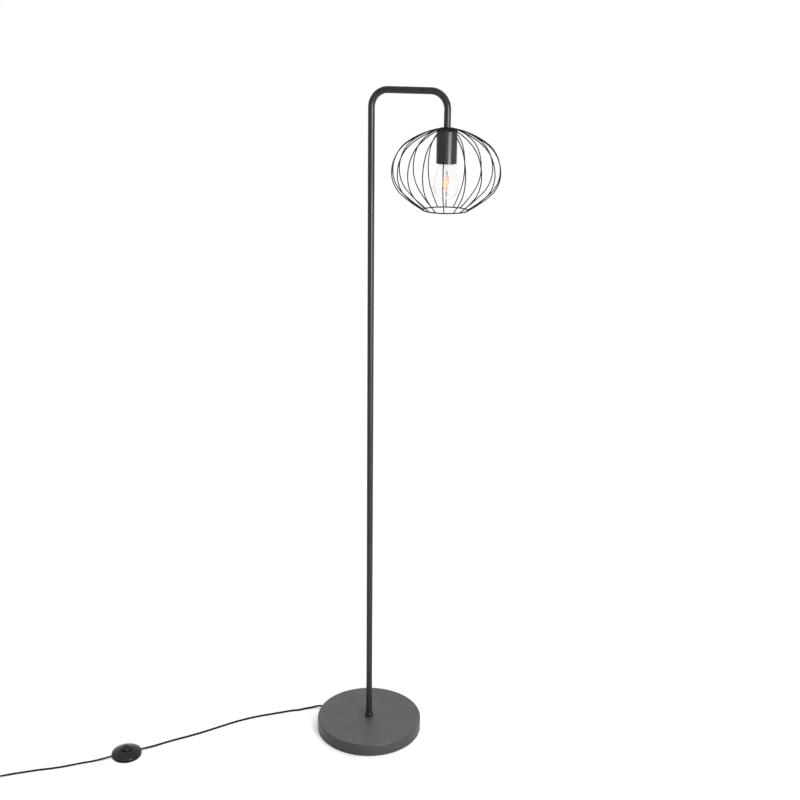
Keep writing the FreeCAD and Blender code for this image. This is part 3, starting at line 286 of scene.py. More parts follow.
SOLDER = metal("contact_solder", (0.66, 0.66, 0.64), 0.35, (1, 1, 1))
PIN_METAL = metal("pin_nickel", (0.80, 0.78, 0.74), 0.22)
CAST_IRON = moulded("cast_iron", (0.11, 0.105, 0.10), 0.65, 260.0, 0.0004)
INSULATOR = moulded("bulb_insulator", (0.02, 0.02, 0.022), 0.2)
GLASS = clear_glass("bulb_glass")
PHOSPHOR = phosphor("filament_phosphor", (0.56, 0.21, 0.045))
LEAD_WIRE = metal("lead_wire", (0.70, 0.68, 0.64), 0.3, (1, 1, 1))

# -------- mesh helpers
WELD_DISTANCE = 1e-7
SHARP_ANGLE = 32.0


def loft_faces(count, sides, closed, caps):
    faces = []
    for i in range(count if closed else count - 1):
        j = (i + 1) % count
        for s in range(sides):
            q = (s + 1) % sides
            faces.append((i * sides + s, i * sides + q, j * sides + q, j * sides + s))
    if caps and not closed:
        faces.append(tuple(reversed(range(sides))))
        faces.append(tuple(range((count - 1) * sides, count * sides)))
    return faces


def loft(rings, closed=False, caps=True):
    verts = [point for ring in rings for point in ring]
    return verts, loft_faces(len(rings), len(rings[0]), closed, caps)


def joined(*meshes):
    verts, faces = [], []
    for more_verts, more_faces in meshes:
        offset = len(verts)
        verts += more_verts
        faces += [tuple(i + offset for i in face) for face in more_faces]
    return verts, faces


def moved(mesh, matrix):
    return [matrix @ Vector(point) for point in mesh[0]], mesh[1]


def plain_object(name, mesh, smooth=False):
    """An object in metres from a mesh in millimetres, welded and with its faces turned outwards."""
    data = bpy.data.meshes.new(name)
    data.from_pydata([Vector(point) * MM for point in mesh[0]], [], mesh[1])
    shell = bmesh.new()
    shell.from_mesh(data)
    bmesh.ops.remove_doubles(shell, verts=shell.verts, dist=WELD_DISTANCE)
    bmesh.ops.recalc_face_normals(shell, faces=shell.faces)
    for face in shell.faces:
        face.smooth = smooth
    shell.to_mesh(data)
    shell.free()
    obj = bpy.data.objects.new(name, data)
    bpy.context.scene.collection.objects.link(obj)
    return obj


def piece(name, mesh, material, body="lamp", nodes=(), sharp=SHARP_ANGLE):
    """A visible piece: smooth but for edges over the sharp angle, riding its body."""
    obj = plain_object(name, mesh, smooth=True)
    data = obj.data
    data.set_sharp_from_angle(angle=math.radians(sharp))
    data.materials.append(material)
    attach(obj, body)
    if nodes:
        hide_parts(*nodes)
    return obj


def hung(mesh):
    """The mesh moved from the world's axis to the head's."""
    return moved(mesh, Matrix.Translation(HEAD))


def arc_between(start, corner, end, steps):
    """Points of the circular arc that leaves start towards corner and ends from corner."""
    weight = (end - start).length / 2 / (corner - start).length
    points = []
    for k in range(steps + 1):
        t = k / steps
        a = (1 - t) ** 2
        b = 2 * weight * t * (1 - t)
        c = t * t
        points.append((start * a + corner * b + end * c) / (a + b + c))
    return points


def biarc(start, heading_in, end, heading_out, steps=14):
    """Two arcs that run smoothly into each other from one place and heading to another."""
    span = end - start
    spread = 2 * (1 - heading_in.dot(heading_out))
    lean = span.dot(heading_in + heading_out)
    reach = (-lean + math.sqrt(lean * lean + spread * span.dot(span))) / spread
    corners = (start + heading_in * reach, end - heading_out * reach)
    joint = (corners[0] + corners[1]) * 0.5
    return arc_between(start, corners[0], joint, steps) + arc_between(joint, corners[1], end, steps)[1:]


def rounded(corners, loop=True, steps=4):
    """An outline whose corners (x, y, radius) are rounded; a corner with no radius stays sharp."""
    out = []
    count = len(corners)
    for i, corner in enumerate(corners):
        here = Vector(corner[:2])
        size = corner[2] if len(corner) > 2 else 0.0
        if not size or (not loop and i in (0, count - 1)):
            out.append(here)
            continue
        before = Vector(corners[i - 1][:2]) - here
        after = Vector(corners[(i + 1) % count][:2]) - here
        half = before.angle(after) / 2
        setback = min(size / math.tan(half), 0.49 * before.length, 0.49 * after.length)
        start = here + before.normalized() * setback
        end = here + after.normalized() * setback
        out += arc_between(start, here, end, steps)
    return out


def circle(radius, sides=16):
    return [(radius * math.cos(2 * math.pi * s / sides), radius * math.sin(2 * math.pi * s / sides))
            for s in range(sides)]


def level_ring(radius, z, sides):
    return [Vector((x, y, z)) for x, y in circle(radius, sides)]


def lathe(outline, sides=96, closed=True):
    """A body of revolution about Z from (radius, z) points."""
    return loft([level_ring(radius, z, sides) for radius, z in outline], closed, caps=False)


def heading_to(angle):
    """The level direction at an angle from +X."""
    return Vector((math.cos(angle), math.sin(angle), 0))


def standing(origin, angle):
    """The frame at a place, turned about +Z."""
    return Matrix.Translation(origin) @ Matrix.Rotation(angle, 4, "Z")


def distances(points):
    """How far along the line each of its points lies."""
    along = [0.0]
    for last, point in zip(points, points[1:]):
        along.append(along[-1] + (point - last).length)
    return along


def ring_at(point, tangent, normal, section):
    first = (normal - tangent * normal.dot(tangent)).normalized()
    second = tangent.cross(first)
    return [point + first * a + second * b for a, b in section]


def tangents(points, closed=False):
    count = len(points)
    found = []
    for i in range(count):
        ahead = points[(i + 1) % count] if closed else points[min(i + 1, count - 1)]
        behind = points[i - 1] if closed else points[max(i - 1, 0)]
        found.append((ahead - behind).normalized())
    return found


def sweep(points, section_at, normal_at, closed=False, caps=True):
    """A bar along points.  section_at and normal_at give each point's outline and upper side."""
    rings = [ring_at(point, tangent, normal_at(i), section_at(i))
             for i, (point, tangent) in enumerate(zip(points, tangents(points, closed)))]
    return loft(rings, closed, caps)


# -------- the cord, on one line
BOOT_END = 150.0
EXIT_ANGLE = math.radians(167.0)
EXIT_DIRECTION = heading_to(EXIT_ANGLE)
EXIT_HEIGHT = 8.0
CORD_ORIGIN = EXIT_DIRECTION * BOOT_END
CORD_LEAD = 9.0
CORD_WIDTH = 5.4
CORD_THICKNESS = 3.6
FLAT_HEIGHT = 1.9
SWITCH_ANGLE = math.radians(44.0)
SWITCH_DIRECTION = heading_to(SWITCH_ANGLE)
SWITCH_CENTRE = CORD_ORIGIN + Vector((-406.9, -373.8, 0))
SWITCH_RADIUS = 38.5
SWITCH_STRAIGHT = 5.0
SEAM_Z = 5.8
CONTACTS_HALF = 13.0
TWIST_HALF = 10.0
UNTWIST_FROM = 90.0
UNTWIST_TO = 20.0
GROOVE_DEPTH = 0.16
GROOVE_REACH = 0.9
FEED_ROUTE = [
    (-18.5, 1.6, 5.9), (-28.6, -3.0, 4.0), (-40.0, -11.1, 2.9), (-52.9, -19.8, 2.7),
    (-62.9, -31.0, 2.7), (-78.5, -38.6, 2.7), (-104.3, -58.4, 2.7), (-135.5, -81.6, 2.7),
    (-169.3, -108.0, 2.7), (-202.7, -141.2, 2.7), (-233.9, -179.6, 2.7), (-263.3, -216.2, 2.7),
    (-292.3, -249.0, 2.7), (-320.9, -277.4, 2.7), (-345.3, -305.6, 2.7), (-360.9, -325.8, 3.8),
]
LEAD_ROUTE = [
    (-452.4, -415.3, 3.8), (-469.3, -429.2, FLAT_HEIGHT), (-494.9, -447.4, FLAT_HEIGHT),
    (-522.5, -471.0, FLAT_HEIGHT), (-550.5, -491.6, FLAT_HEIGHT), (-578.3, -508.2, FLAT_HEIGHT),
    (-605.9, -527.2, FLAT_HEIGHT), (-633.5, -547.0, 2.2), (-660.5, -569.0, 2.9),
    (-684.9, -588.8, 3.4),
]
COIL_START = CORD_ORIGIN + Vector((-706.9, -606.8, 0))
COIL_HEADING = math.radians(219.0)
COIL_RADIUS = 37.0
COIL_PITCH = 6.0
COIL_LAYER = 5.9
COIL_LOW_Z = 3.4
COIL_IN = 9
COIL_CLIMB = 2
COIL_OUT = 10
COIL_TAIL = 34.0
COIL_APPROACH = 12.0
COIL_CENTRE = COIL_START + Vector((-math.sin(COIL_HEADING), math.cos(COIL_HEADING), 0)) * COIL_RADIUS
POINTS_PER_QUARTER = 6
PLUG_MIDDLE_Z = 7.0
COIL_QUARTERS = COIL_IN + COIL_CLIMB + COIL_OUT


def coil_place(quarter, swell=1.0):
    """The cord's middle after so many quarter turns: inwards on the floor, up, outwards on top."""
    turning = COIL_IN + COIL_CLIMB / 2
    radius = COIL_RADIUS - COIL_PITCH * (min(quarter, turning) - max(0.0, quarter - turning)) / 4
    share = min(max((quarter - COIL_IN) / COIL_CLIMB, 0.0), 1.0)
    z = COIL_LOW_Z + COIL_LAYER * share * share * (3 - 2 * share)
    angle = COIL_HEADING - math.pi / 2 + quarter * math.pi / 2
    return COIL_CENTRE + heading_to(angle) * (radius * swell) + UP * z


def coil_exit():
    return heading_to(COIL_HEADING + COIL_QUARTERS * math.pi / 2)


def plug_cord_end():
    end = coil_place(COIL_QUARTERS) + coil_exit() * COIL_TAIL
    return Vector((end.x, end.y, PLUG_MIDDLE_Z))


def switch_port(way, distance):
    return SWITCH_CENTRE + SWITCH_DIRECTION * (way * distance) + UP * SEAM_Z


def cord_route():
    exit_height = UP * EXIT_HEIGHT
    points = [CORD_ORIGIN + exit_height, CORD_ORIGIN + EXIT_DIRECTION * CORD_LEAD + exit_height]
    points += [CORD_ORIGIN + Vector(place) for place in FEED_ROUTE]
    outside = SWITCH_RADIUS + SWITCH_STRAIGHT
    points += [switch_port(1, outside), switch_port(1, CONTACTS_HALF)]
    points += [switch_port(-1, CONTACTS_HALF), switch_port(-1, outside)]
    points += [CORD_ORIGIN + Vector(place) for place in LEAD_ROUTE]
    arrival = COIL_START + UP * COIL_LOW_Z
    points += [arrival - heading_to(COIL_HEADING) * COIL_APPROACH, arrival]
    # The spline runs inside its control points, so the turns' points stand out by as much.
    swell = 1 / (0.75 + 0.25 * math.cos(math.pi / 2 / POINTS_PER_QUARTER))
    for step in range(1, COIL_QUARTERS * POINTS_PER_QUARTER + 1):
        points.append(coil_place(step / POINTS_PER_QUARTER, swell))
    end = plug_cord_end()
    lift = points[-1] + coil_exit() * CORD_WIDTH
    points += [lift, end - coil_exit() * CORD_WIDTH * 2, end - coil_exit() * CORD_WIDTH, end]
    return points


def spline_points(name, points, resolution=5):
    """The points of a smooth line that has the route's points as its control points."""
    curve = bpy.data.curves.new(name, "CURVE")
    curve.dimensions = "3D"
    spline = curve.splines.new("NURBS")
    spline.points.add(len(points) - 1)
    for control, point in zip(spline.points, points):
        control.co = (*(point * MM), 1.0)
    spline.order_u = 3
    spline.use_endpoint_u = True
    spline.resolution_u = resolution
    guide = bpy.data.objects.new(name, curve)
    bpy.context.scene.collection.objects.link(guide)
    bpy.context.view_layer.update()
    line = bpy.data.meshes.new_from_object(guide)
    found = [Vector(vertex.co) / MM for vertex in line.vertices]
    bpy.data.objects.remove(guide)
    bpy.data.curves.remove(curve)
    bpy.data.meshes.remove(line)
    return found


def flex_section(sides=24):
    """Flat twin flex: two cores side by side under one sheath, with a shallow groove between."""
    half_thick = CORD_THICKNESS / 2
    core = CORD_WIDTH / 2 - half_thick
    outline = []
    for s in range(sides):
        angle = 2 * math.pi * (s + 0.5) / sides
        across = half_thick * math.cos(angle) + math.copysign(core, math.cos(angle))
        groove = 1 - GROOVE_DEPTH * math.exp(-(across / GROOVE_REACH) ** 2)
        outline.append((across, half_thick * math.sin(angle) * groove))
    return outline


def smooth_step(value, start, end):
    share = min(max((value - start) / (end - start), 0.0), 1.0)
    return share * share * (3 - 2 * share)


def make_cord():
    """The flex stands on its edge up to the switch, lies flat after it and stands again in the coil."""
    line = spline_points("cord_line", cord_route())
    along = distances(line)
    at_switch = min(range(len(line)), key=lambda i: (line[i] - switch_port(-1, 0)).length)
    at_coil = min(range(len(line) // 2), key=lambda i: (line[i] - COIL_START).length)
    switch_distance = along[at_switch]
    coil_distance = along[at_coil]
    headings = tangents(line)

    def wide_side(i):
        level = UP.cross(headings[i]).normalized()
        flat = smooth_step(along[i], switch_distance - TWIST_HALF, switch_distance + TWIST_HALF)
        flat -= smooth_step(along[i], coil_distance - UNTWIST_FROM, coil_distance - UNTWIST_TO)
        angle = flat * math.pi / 2
        return UP * math.cos(angle) + level * math.sin(angle)

    section = flex_section()
    cord = piece("cord", sweep(line, lambda i: section, wide_side), CORD_SHEATH,
                 nodes=("cord_base_to_switch", "cord_switch_to_coil", "cord_coil"), sharp=80.0)
    return cord, [tuple(point * MM) for point in line]


cord, cord_line = make_cord()

# -------- base
BASE_RADIUS = 140.0
BASE_HEIGHT = 34.0
BASE_LOW = 1.0
BASE_WALL = 2.0
TOP_RINGS = (7.0, 9.0, 12.0, 20.0, 40.0, 70.0, 100.0, 122.0, 132.0)
NOTCH_HALF = 4.5
PIPE_HOLE = 5.3
POLE_RADIUS = 8.0
COLLAR_BORE = POLE_RADIUS + 0.1
COLLAR_RADIUS = 11.0
COLLAR_HEIGHT = 11.0


def cut_away(obj, tool):
    """Cuts the tool's shape out of the object for good, and removes the tool."""
    change = obj.modifiers.new("cut", "BOOLEAN")
    change.operation = "DIFFERENCE"
    change.solver = "EXACT"
    change.object = tool
    bpy.context.view_layer.update()
    graph = bpy.context.evaluated_depsgraph_get()
    data = bpy.data.meshes.new_from_object(obj.evaluated_get(graph))
    obj.modifiers.clear()
    old = obj.data
    obj.data = data
    data.name = old.name
    bpy.data.meshes.remove(old)
    bpy.data.objects.remove(tool)
    data.set_sharp_from_angle(angle=math.radians(SHARP_ANGLE))


def make_base():
    inner, under = BASE_RADIUS - BASE_WALL, BASE_HEIGHT - BASE_WALL
    corners = [(PIPE_HOLE, BASE_HEIGHT, 0.2)]
    # The rings across the flat top keep the wear of an edge from spreading over it.
    corners += [(radius, BASE_HEIGHT) for radius in TOP_RINGS]
    corners += [
        (BASE_RADIUS, BASE_HEIGHT, 2.5), (BASE_RADIUS, BASE_HEIGHT - 6), (BASE_RADIUS, 14.0),
        (BASE_RADIUS, 3.0), (BASE_RADIUS, BASE_LOW, 0.5), (inner, BASE_LOW, 0.5),
        (inner, under, 1.0), (PIPE_HOLE, under),
    ]
    cover = piece("base_cover_shell", lathe(rounded(corners, steps=7), 240), BASE_BLACK,
                  nodes=("base_cover",))
    arch = [(EXIT_HEIGHT + NOTCH_HALF * math.sin(a), NOTCH_HALF * math.cos(a))
            for a in [math.pi * k / 12 for k in range(13)]]
    profile = [(-5.0, NOTCH_HALF)] + arch + [(-5.0, -NOTCH_HALF)]
    rings = [[Vector((reach, y, z)) for z, y in profile] for reach in (BASE_RADIUS - 12, BASE_RADIUS + 8)]
    cut_away(cover, plain_object("notch", moved(loft(rings), Matrix.Rotation(EXIT_ANGLE, 4, "Z"))))
    collar_top = BASE_HEIGHT + COLLAR_HEIGHT
    collar = rounded([(COLLAR_BORE, BASE_HEIGHT), (COLLAR_RADIUS, BASE_HEIGHT, 0.2),
                      (COLLAR_RADIUS, collar_top, 1.4), (COLLAR_BORE, collar_top, 0.4)])
    piece("foot_collar_ring", lathe(collar, 64), FRAME_BLACK, nodes=("foot_collar",))


make_base()


def aimed(mesh, origin, direction):
    turn = UP.rotation_difference(direction).to_matrix().to_4x4()
    return moved(mesh, Matrix.Translation(origin) @ turn)


BOOT_BORE = 2.85
BOOT_RADIUS = 4.3
BOOT_FLANGE = 6.0
BOOT_RINGS = 3


def make_boot():
    """Tapered strain relief with the usual row of flexing rings; it is drawn along +Z, then aimed."""
    side = BASE_RADIUS
    inner_end, start = side - 18.5, side + 1.8
    outline = [(BOOT_BORE, BOOT_END), (BOOT_BORE, inner_end), (BOOT_RADIUS, inner_end, 0.4),
               (BOOT_RADIUS, side - 3.8), (BOOT_FLANGE, side - 3.8, 0.3), (BOOT_FLANGE, side - 2.3, 0.3),
               (BOOT_RADIUS, side - 2.3), (BOOT_RADIUS, side + 0.3), (BOOT_FLANGE, side + 0.3, 0.3),
               (BOOT_FLANGE, start, 0.5)]
    step = (BOOT_END - start) / BOOT_RINGS
    for k in range(BOOT_RINGS):
        z = start + step * k
        radius = 4.9 - 1.2 * (k + 0.5) / BOOT_RINGS
        outline += [(radius - 0.7, z + 0.1 * step, 0.15), (radius - 0.7, z + 0.4 * step, 0.2),
                    (radius, z + 0.45 * step, 0.25), (radius - 0.15, z + 0.98 * step, 0.25)]
    mesh = aimed(lathe(rounded(outline, steps=3), 40), UP * EXIT_HEIGHT, EXIT_DIRECTION)
    piece("cord_relief", mesh, BOOT_RUBBER, nodes=("cord_boot",))


make_boot()

# -------- pole and arm
POLE_BORE = 6.8
END_ROUNDING = 0.25
END_SHOULDER = 0.07
# Rings close to a tube's ends keep the wear of its edge from spreading along it.
END_RINGS = (0.8, 4.0)
SECTION_LENGTH = 420.0
LAMP_HEIGHT = 1700.0
ARM_REACH = 184.0
BEND_RADIUS = 40.0
HANG_Z = 1612.0


def make_pole():
    for index, node in enumerate(("pole_lower", "pole_middle", "pole_upper")):
        low = BASE_HEIGHT + index * SECTION_LENGTH
        high = low + SECTION_LENGTH
        corners = [(POLE_RADIUS, low, END_ROUNDING)]
        corners += [(POLE_RADIUS, low + slide) for slide in END_RINGS]
        corners += [(POLE_RADIUS, high - slide) for slide in reversed(END_RINGS)]
        corners += [(POLE_RADIUS, high, END_ROUNDING), (POLE_BORE, high, 0.2), (POLE_BORE, low, 0.2)]
        piece(node + "_tube", lathe(rounded(corners, steps=3), 64), FRAME_BLACK, nodes=(node,))


make_pole()


def arm_line():
    axis_z = LAMP_HEIGHT - POLE_RADIUS
    low = axis_z - BEND_RADIUS
    foot = BASE_HEIGHT + 3 * SECTION_LENGTH
    far = ARM_REACH - BEND_RADIUS
    points = [Vector((0, 0, foot + (low - foot) * k / 8)) for k in range(8)]
    points += arc_between(Vector((0, 0, low)), Vector((0, 0, axis_z)), Vector((BEND_RADIUS, 0, axis_z)), 28)
    points += [Vector((BEND_RADIUS + (far - BEND_RADIUS) * k / 5, 0, axis_z)) for k in range(1, 5)]
    points += arc_between(Vector((far, 0, axis_z)), Vector((ARM_REACH, 0, axis_z)),
                          Vector((ARM_REACH, 0, low)), 28)
    points.append(Vector((ARM_REACH, 0, HANG_Z)))
    return points


def make_arm():
    points = arm_line()
    headings = tangents(points)
    side = Vector((0, 1, 0))

    def ring(i, radius, slide=0.0):
        return ring_at(points[i] + headings[i] * slide, headings[i], side, circle(radius, 48))

    def end_rings(i, way):
        """The rounded end from its face to END_RINGS along the tube."""
        found = [ring(i, POLE_RADIUS - END_ROUNDING), ring(i, POLE_RADIUS - END_SHOULDER, way * END_SHOULDER)]
        return found + [ring(i, POLE_RADIUS, way * slide) for slide in (END_ROUNDING, *END_RINGS)]

    last = len(points) - 1
    rings = end_rings(0, 1) + [ring(i, POLE_RADIUS) for i in range(1, last)] + end_rings(last, -1)[::-1]
    rings += [ring(i, POLE_BORE) for i in range(last, -1, -1)]
    piece("pole_arm_tube", loft(rings, closed=True), FRAME_BLACK, nodes=("pole_arm",))


make_arm()

# -------- wire shade
PLATE_RADIUS = 14.0
PLATE_Z = 1608.0
RIB_COUNT = 18
RIB_PHASE = 5.6
RIB_OFFSETS = (
    0.0, 0.0, 1.6, 0.0, 0.6, 0.0, 1.0, -0.5, 1.9, 0.0, 0.0, 0.5, -1.6, -3.2, -2.1, 0.8, -0.6, 1.1,
)
WIRE_RADIUS = 1.3
CAGE_RADIUS = 126.5
WAIST_Z = 1512.0
START_SLOPE = math.radians(10.0)
END_SLOPE = math.radians(30.0)
RING_RADIUS = 52.5
RING_Z = 1424.5
RING_WIRE = 1.5


def rib_line(angle):
    out = heading_to(angle)
    plate = HEAD + out * (PLATE_RADIUS - 0.4) + UP * (HANG_Z - WIRE_RADIUS - 0.15)
    waist = HEAD + out * CAGE_RADIUS + UP * WAIST_Z
    foot = HEAD + out * RING_RADIUS + UP * RING_Z
    leave = out * math.cos(START_SLOPE) - UP * math.sin(START_SLOPE)
    arrive = out * -math.cos(END_SLOPE) - UP * math.sin(END_SLOPE)
    upper = biarc(plate, leave, waist, -UP, 20)
    lower = biarc(waist, -UP, foot, arrive, 16)
    return upper + lower[1:], out


def make_ribs():
    for index in range(RIB_COUNT):
        angle = RIB_PHASE + index * 360.0 / RIB_COUNT + RIB_OFFSETS[index]
        points, out = rib_line(math.radians(angle))
        points = [points[0].lerp(points[1], t / 4) for t in range(4)] + points[1:]
        side = UP.cross(out)
        along = distances(points)

        def section(i):
            # The weld beads at both ends thicken the wire a little.
            near_plate = math.exp(-(along[i] / 1.8) ** 2)
            near_ring = math.exp(-((along[-1] - along[i]) / 1.6) ** 2)
            return circle(WIRE_RADIUS + 0.45 * near_plate + 0.35 * near_ring, 14)

        node = f"shade_rib_{index + 1:02d}"
        piece(node + "_wire", sweep(points, section, lambda i: side), WIRE_BLACK, nodes=(node,), sharp=60.0)


def make_shade_ends():
    turns = 144
    points = [HEAD + point for point in level_ring(RING_RADIUS, RING_Z, turns)]
    weld = turns // 3

    def section(i):
        return circle(RING_WIRE + 0.28 * math.exp(-((i - weld) / 0.9) ** 2), 16)

    piece("shade_lower_ring_wire", sweep(points, section, lambda i: UP, closed=True), WIRE_BLACK,
          nodes=("shade_lower_ring",), sharp=60.0)
    outline = rounded([(PIPE_HOLE, HANG_Z, 0.2), (PLATE_RADIUS, HANG_Z, 0.6), (PLATE_RADIUS, PLATE_Z, 0.4),
                       (PIPE_HOLE, PLATE_Z)])
    piece("shade_plate_disc", hung(lathe(outline, 72)), WIRE_BLACK, nodes=("shade_plate",))


make_ribs()
make_shade_ends()

# -------- lamp holder
CUP_RADIUS = 23.8
CUP_WALL = 1.0
CUP_EDGE_Z = 1531.5
HOLDER_RIM_Z = CUP_EDGE_Z + 2.5
HOLDER_TOP_Z = 1571.0
HOLDER_RADIUS = 19.0
SHELL_RADIUS = 13.5
SHELL_OUTSIDE = 14.0
THREAD_PITCH = 3.629


def threaded(radius, depth, low, high, fade, sides=96, step=0.3):
    """Rings of a rolled round thread; fade is how far from each end it has its whole depth."""
    rings = []
    count = round((high - low) / step)
    for k in range(count + 1):
        z = low + (high - low) * k / count
        amount = smooth_step(z, low, low + fade) * (1 - smooth_step(z, high - fade, high))
        ring = []
        for s in range(sides):
            angle = 2 * math.pi * s / sides
            wave = 0.5 - 0.5 * math.cos(2 * math.pi * z / THREAD_PITCH - angle)
            dent = depth * amount * wave
            ring.append(Vector(((radius - dent) * math.cos(angle), (radius - dent) * math.sin(angle), z)))
        rings.append(ring)
    return rings


def make_holder():
    inner, under = CUP_RADIUS - CUP_WALL, PLATE_Z - CUP_WALL
    outline = rounded([
        (PIPE_HOLE, PLATE_Z), (12.0, PLATE_Z), (CUP_RADIUS, PLATE_Z, 5.0), (CUP_RADIUS, PLATE_Z - 14),
        (CUP_RADIUS, CUP_EDGE_Z + 5), (CUP_RADIUS, CUP_EDGE_Z + 1), (CUP_RADIUS, CUP_EDGE_Z, 0.35),
        (inner, CUP_EDGE_Z, 0.35), (inner, under, 4.0), (PIPE_HOLE, under)], steps=8)
    piece("holder_cup_shell", hung(lathe(outline, 96)), FRAME_BLACK, nodes=("holder_cup",))
    low, high = HOLDER_RIM_Z + 2, HOLDER_TOP_Z - 8
    bore = SHELL_OUTSIDE + 0.05
    body = rounded([
        (HOLDER_RADIUS, HOLDER_TOP_Z, 0.3), (HOLDER_RADIUS, HOLDER_RIM_Z, 1.0), (14.6, HOLDER_RIM_Z, 0.8),
        (bore, low), (bore, high), (0.0, high), (0.0, HOLDER_TOP_Z)])
    piece("holder_body_shell", hung(lathe(body, 96)), HOLDER_PLASTIC,
          nodes=("holder_body",))
    inside = threaded(SHELL_RADIUS, 0.75, low, high, 2.0)
    outside = [level_ring(SHELL_OUTSIDE, z, len(inside[0])) for z in (high, low)]
    piece("holder_thread", hung(loft(inside + outside, closed=True)), BRASS,
          nodes=("holder_thread_shell",), sharp=50.0)


make_holder()

# -------- bulb
CAP_RADIUS = 13.2
CAP_RIM_Z = CUP_EDGE_Z + 1.0
CAP_TOP_Z = CAP_RIM_Z + 26.0
BULB_TIP_Z = CAP_TOP_Z - 110.0
BULB_RADIUS = 30.0
NECK_RADIUS = 13.6


def glass_outline(inset):
    belly_z = BULB_TIP_Z + BULB_RADIUS
    lean = math.radians(32)
    start = Vector((NECK_RADIUS - inset, CAP_RIM_Z - 0.3 - inset))
    belly = Vector((BULB_RADIUS - inset, belly_z))
    points = biarc(start, Vector((math.sin(lean), -math.cos(lean))), belly, Vector((0, -1)), 24)
    radius = BULB_RADIUS - inset
    points += [Vector((radius * math.cos(a), belly_z - radius * math.sin(a)))
               for a in [math.pi / 2 * k / 36 for k in range(1, 37)]]
    points[-1].x = 0.0
    return points


def make_bulb():
    throat = CAP_RADIUS - 0.9
    top = CAP_RIM_Z + 13
    outer = [Vector((throat, top)), Vector((throat, CAP_RIM_Z + 0.4))]
    outer += [Vector((throat + 0.5, CAP_RIM_Z + 0.1))] + glass_outline(0.0)
    inner = [Vector((throat - 0.8, top)), Vector((throat - 0.8, CAP_RIM_Z - 0.6))] + glass_outline(0.8)
    mesh = lathe(outer + inner[::-1], 224)
    piece("bulb_envelope", hung(mesh), GLASS, body="bulb",
          nodes=("bulb_glass",), sharp=70.0)
    cone = CAP_TOP_Z - 6.5
    rings = threaded(CAP_RADIUS, 0.85, CAP_RIM_Z + 2.2, cone - 0.6, 2.0)
    sides = len(rings[0])

    start = [(12.5, 1.5), (12.5, 0.2), (12.9, 0.0), (CAP_RADIUS, 0.25), (CAP_RADIUS, 1.2)]
    end = [(13.0, 0.0), (12.0, 0.7), (9.2, 2.0), (8.4, 2.2), (8.4, 1.4), (12.3, -0.2)]
    rings = [level_ring(radius, CAP_RIM_Z + z, sides) for radius, z in start] + rings
    rings += [level_ring(radius, cone + z, sides) for radius, z in end]
    piece("bulb_cap_shell", hung(loft(rings, closed=True)), NICKEL, body="bulb",
          nodes=("bulb_cap",), sharp=50.0)
    seat = CAP_TOP_Z - 2.0
    insulator = rounded([(0.0, cone + 1.2), (9.0, cone + 1.2), (8.6, cone + 2.4, 0.3), (5.6, seat, 0.6),
                         (0.0, seat)], loop=False)
    piece("bulb_cap_insulator", hung(lathe(insulator, 64, closed=False)), INSULATOR, body="bulb")
    contact = rounded([(0.0, seat), (4.5, seat, 0.3), (4.4, CAP_TOP_Z - 0.8, 0.5),
                       (3.0, CAP_TOP_Z - 0.1, 0.9), (0.0, CAP_TOP_Z)], loop=False)
    piece("bulb_contact_disc", hung(lathe(contact, 48, closed=False)), SOLDER, body="bulb_thread",
          nodes=("bulb_contact",))


def make_stem():
    top = CAP_RIM_Z + 11
    foot = CAP_RIM_Z - 20
    outer = rounded([(11.6, top), (11.6, top - 1.5, 1.0), (4.2, top - 9, 4.0), (3.6, foot + 6, 2.0),
                     (2.4, foot + 1.5, 1.5), (0.0, foot)], loop=False, steps=8)
    inner = rounded([(0.0, foot + 7), (2.2, foot + 8, 1.2), (2.9, top - 9, 4.0), (10.6, top - 2.2, 1.0),
                     (10.6, top)], loop=False, steps=8)
    piece("bulb_glass_stem", hung(lathe(outer + inner, 64)), GLASS, body="bulb",
          nodes=("bulb_stem",), sharp=60.0)


FILAMENT_COUNT = 4
FILAMENT_LENGTH = 38.0
FILAMENT_CIRCLE = 6.0
FILAMENT_TURN = 20.0
FILAMENT_LEAN = 25.0


def bar(start, end, radius, sides=12, ease=0.25):
    """A round rod with softly rounded ends."""
    heading = (end - start).normalized()
    across = heading.orthogonal()
    length = (end - start).length
    steps = [(0.0, 0.45), (ease * radius, 0.85), (radius, 1.0), (length - radius, 1.0),
             (length - ease * radius, 0.85), (length, 0.45)]
    rings = [ring_at(start + heading * s, heading, across, circle(radius * k, sides)) for s, k in steps]
    return loft(rings)


def make_filaments():
    hub = HEAD + UP * (CAP_RIM_Z - 20)
    top_z = CAP_RIM_Z - 26
    low_z = top_z - FILAMENT_LENGTH
    sticks = []
    ends = []
    wires = [bar(hub + UP * 14, HEAD + UP * (low_z - 1.2), 0.45)]
    for index in range(FILAMENT_COUNT):
        angle = math.radians(FILAMENT_TURN + index * 360.0 / FILAMENT_COUNT)
        lean = angle + math.radians(FILAMENT_LEAN)
        top = HEAD + heading_to(angle) * FILAMENT_CIRCLE + UP * top_z
        low = HEAD + heading_to(lean) * FILAMENT_CIRCLE + UP * low_z
        sticks.append(bar(top.lerp(low, 0.06), top.lerp(low, 0.94), 0.95, 16))
        ends.append(bar(top - (low - top) * 0.02, top.lerp(low, 0.08), 0.5))
        ends.append(bar(top.lerp(low, 0.92), low + (low - top) * 0.02, 0.5))
        wires.append(bar(hub - UP * 1.0, top - (low - top) * 0.015, 0.28))
        wires.append(bar(HEAD + UP * (low_z - 0.6), low + (low - top) * 0.015, 0.28))
    piece("bulb_light_sticks", joined(*sticks), PHOSPHOR, body="bulb",
          nodes=("bulb_filaments",), sharp=60.0)
    piece("bulb_lead_wires", joined(*wires, *ends), LEAD_WIRE, body="bulb", sharp=60.0)


make_bulb()
make_stem()
make_filaments()

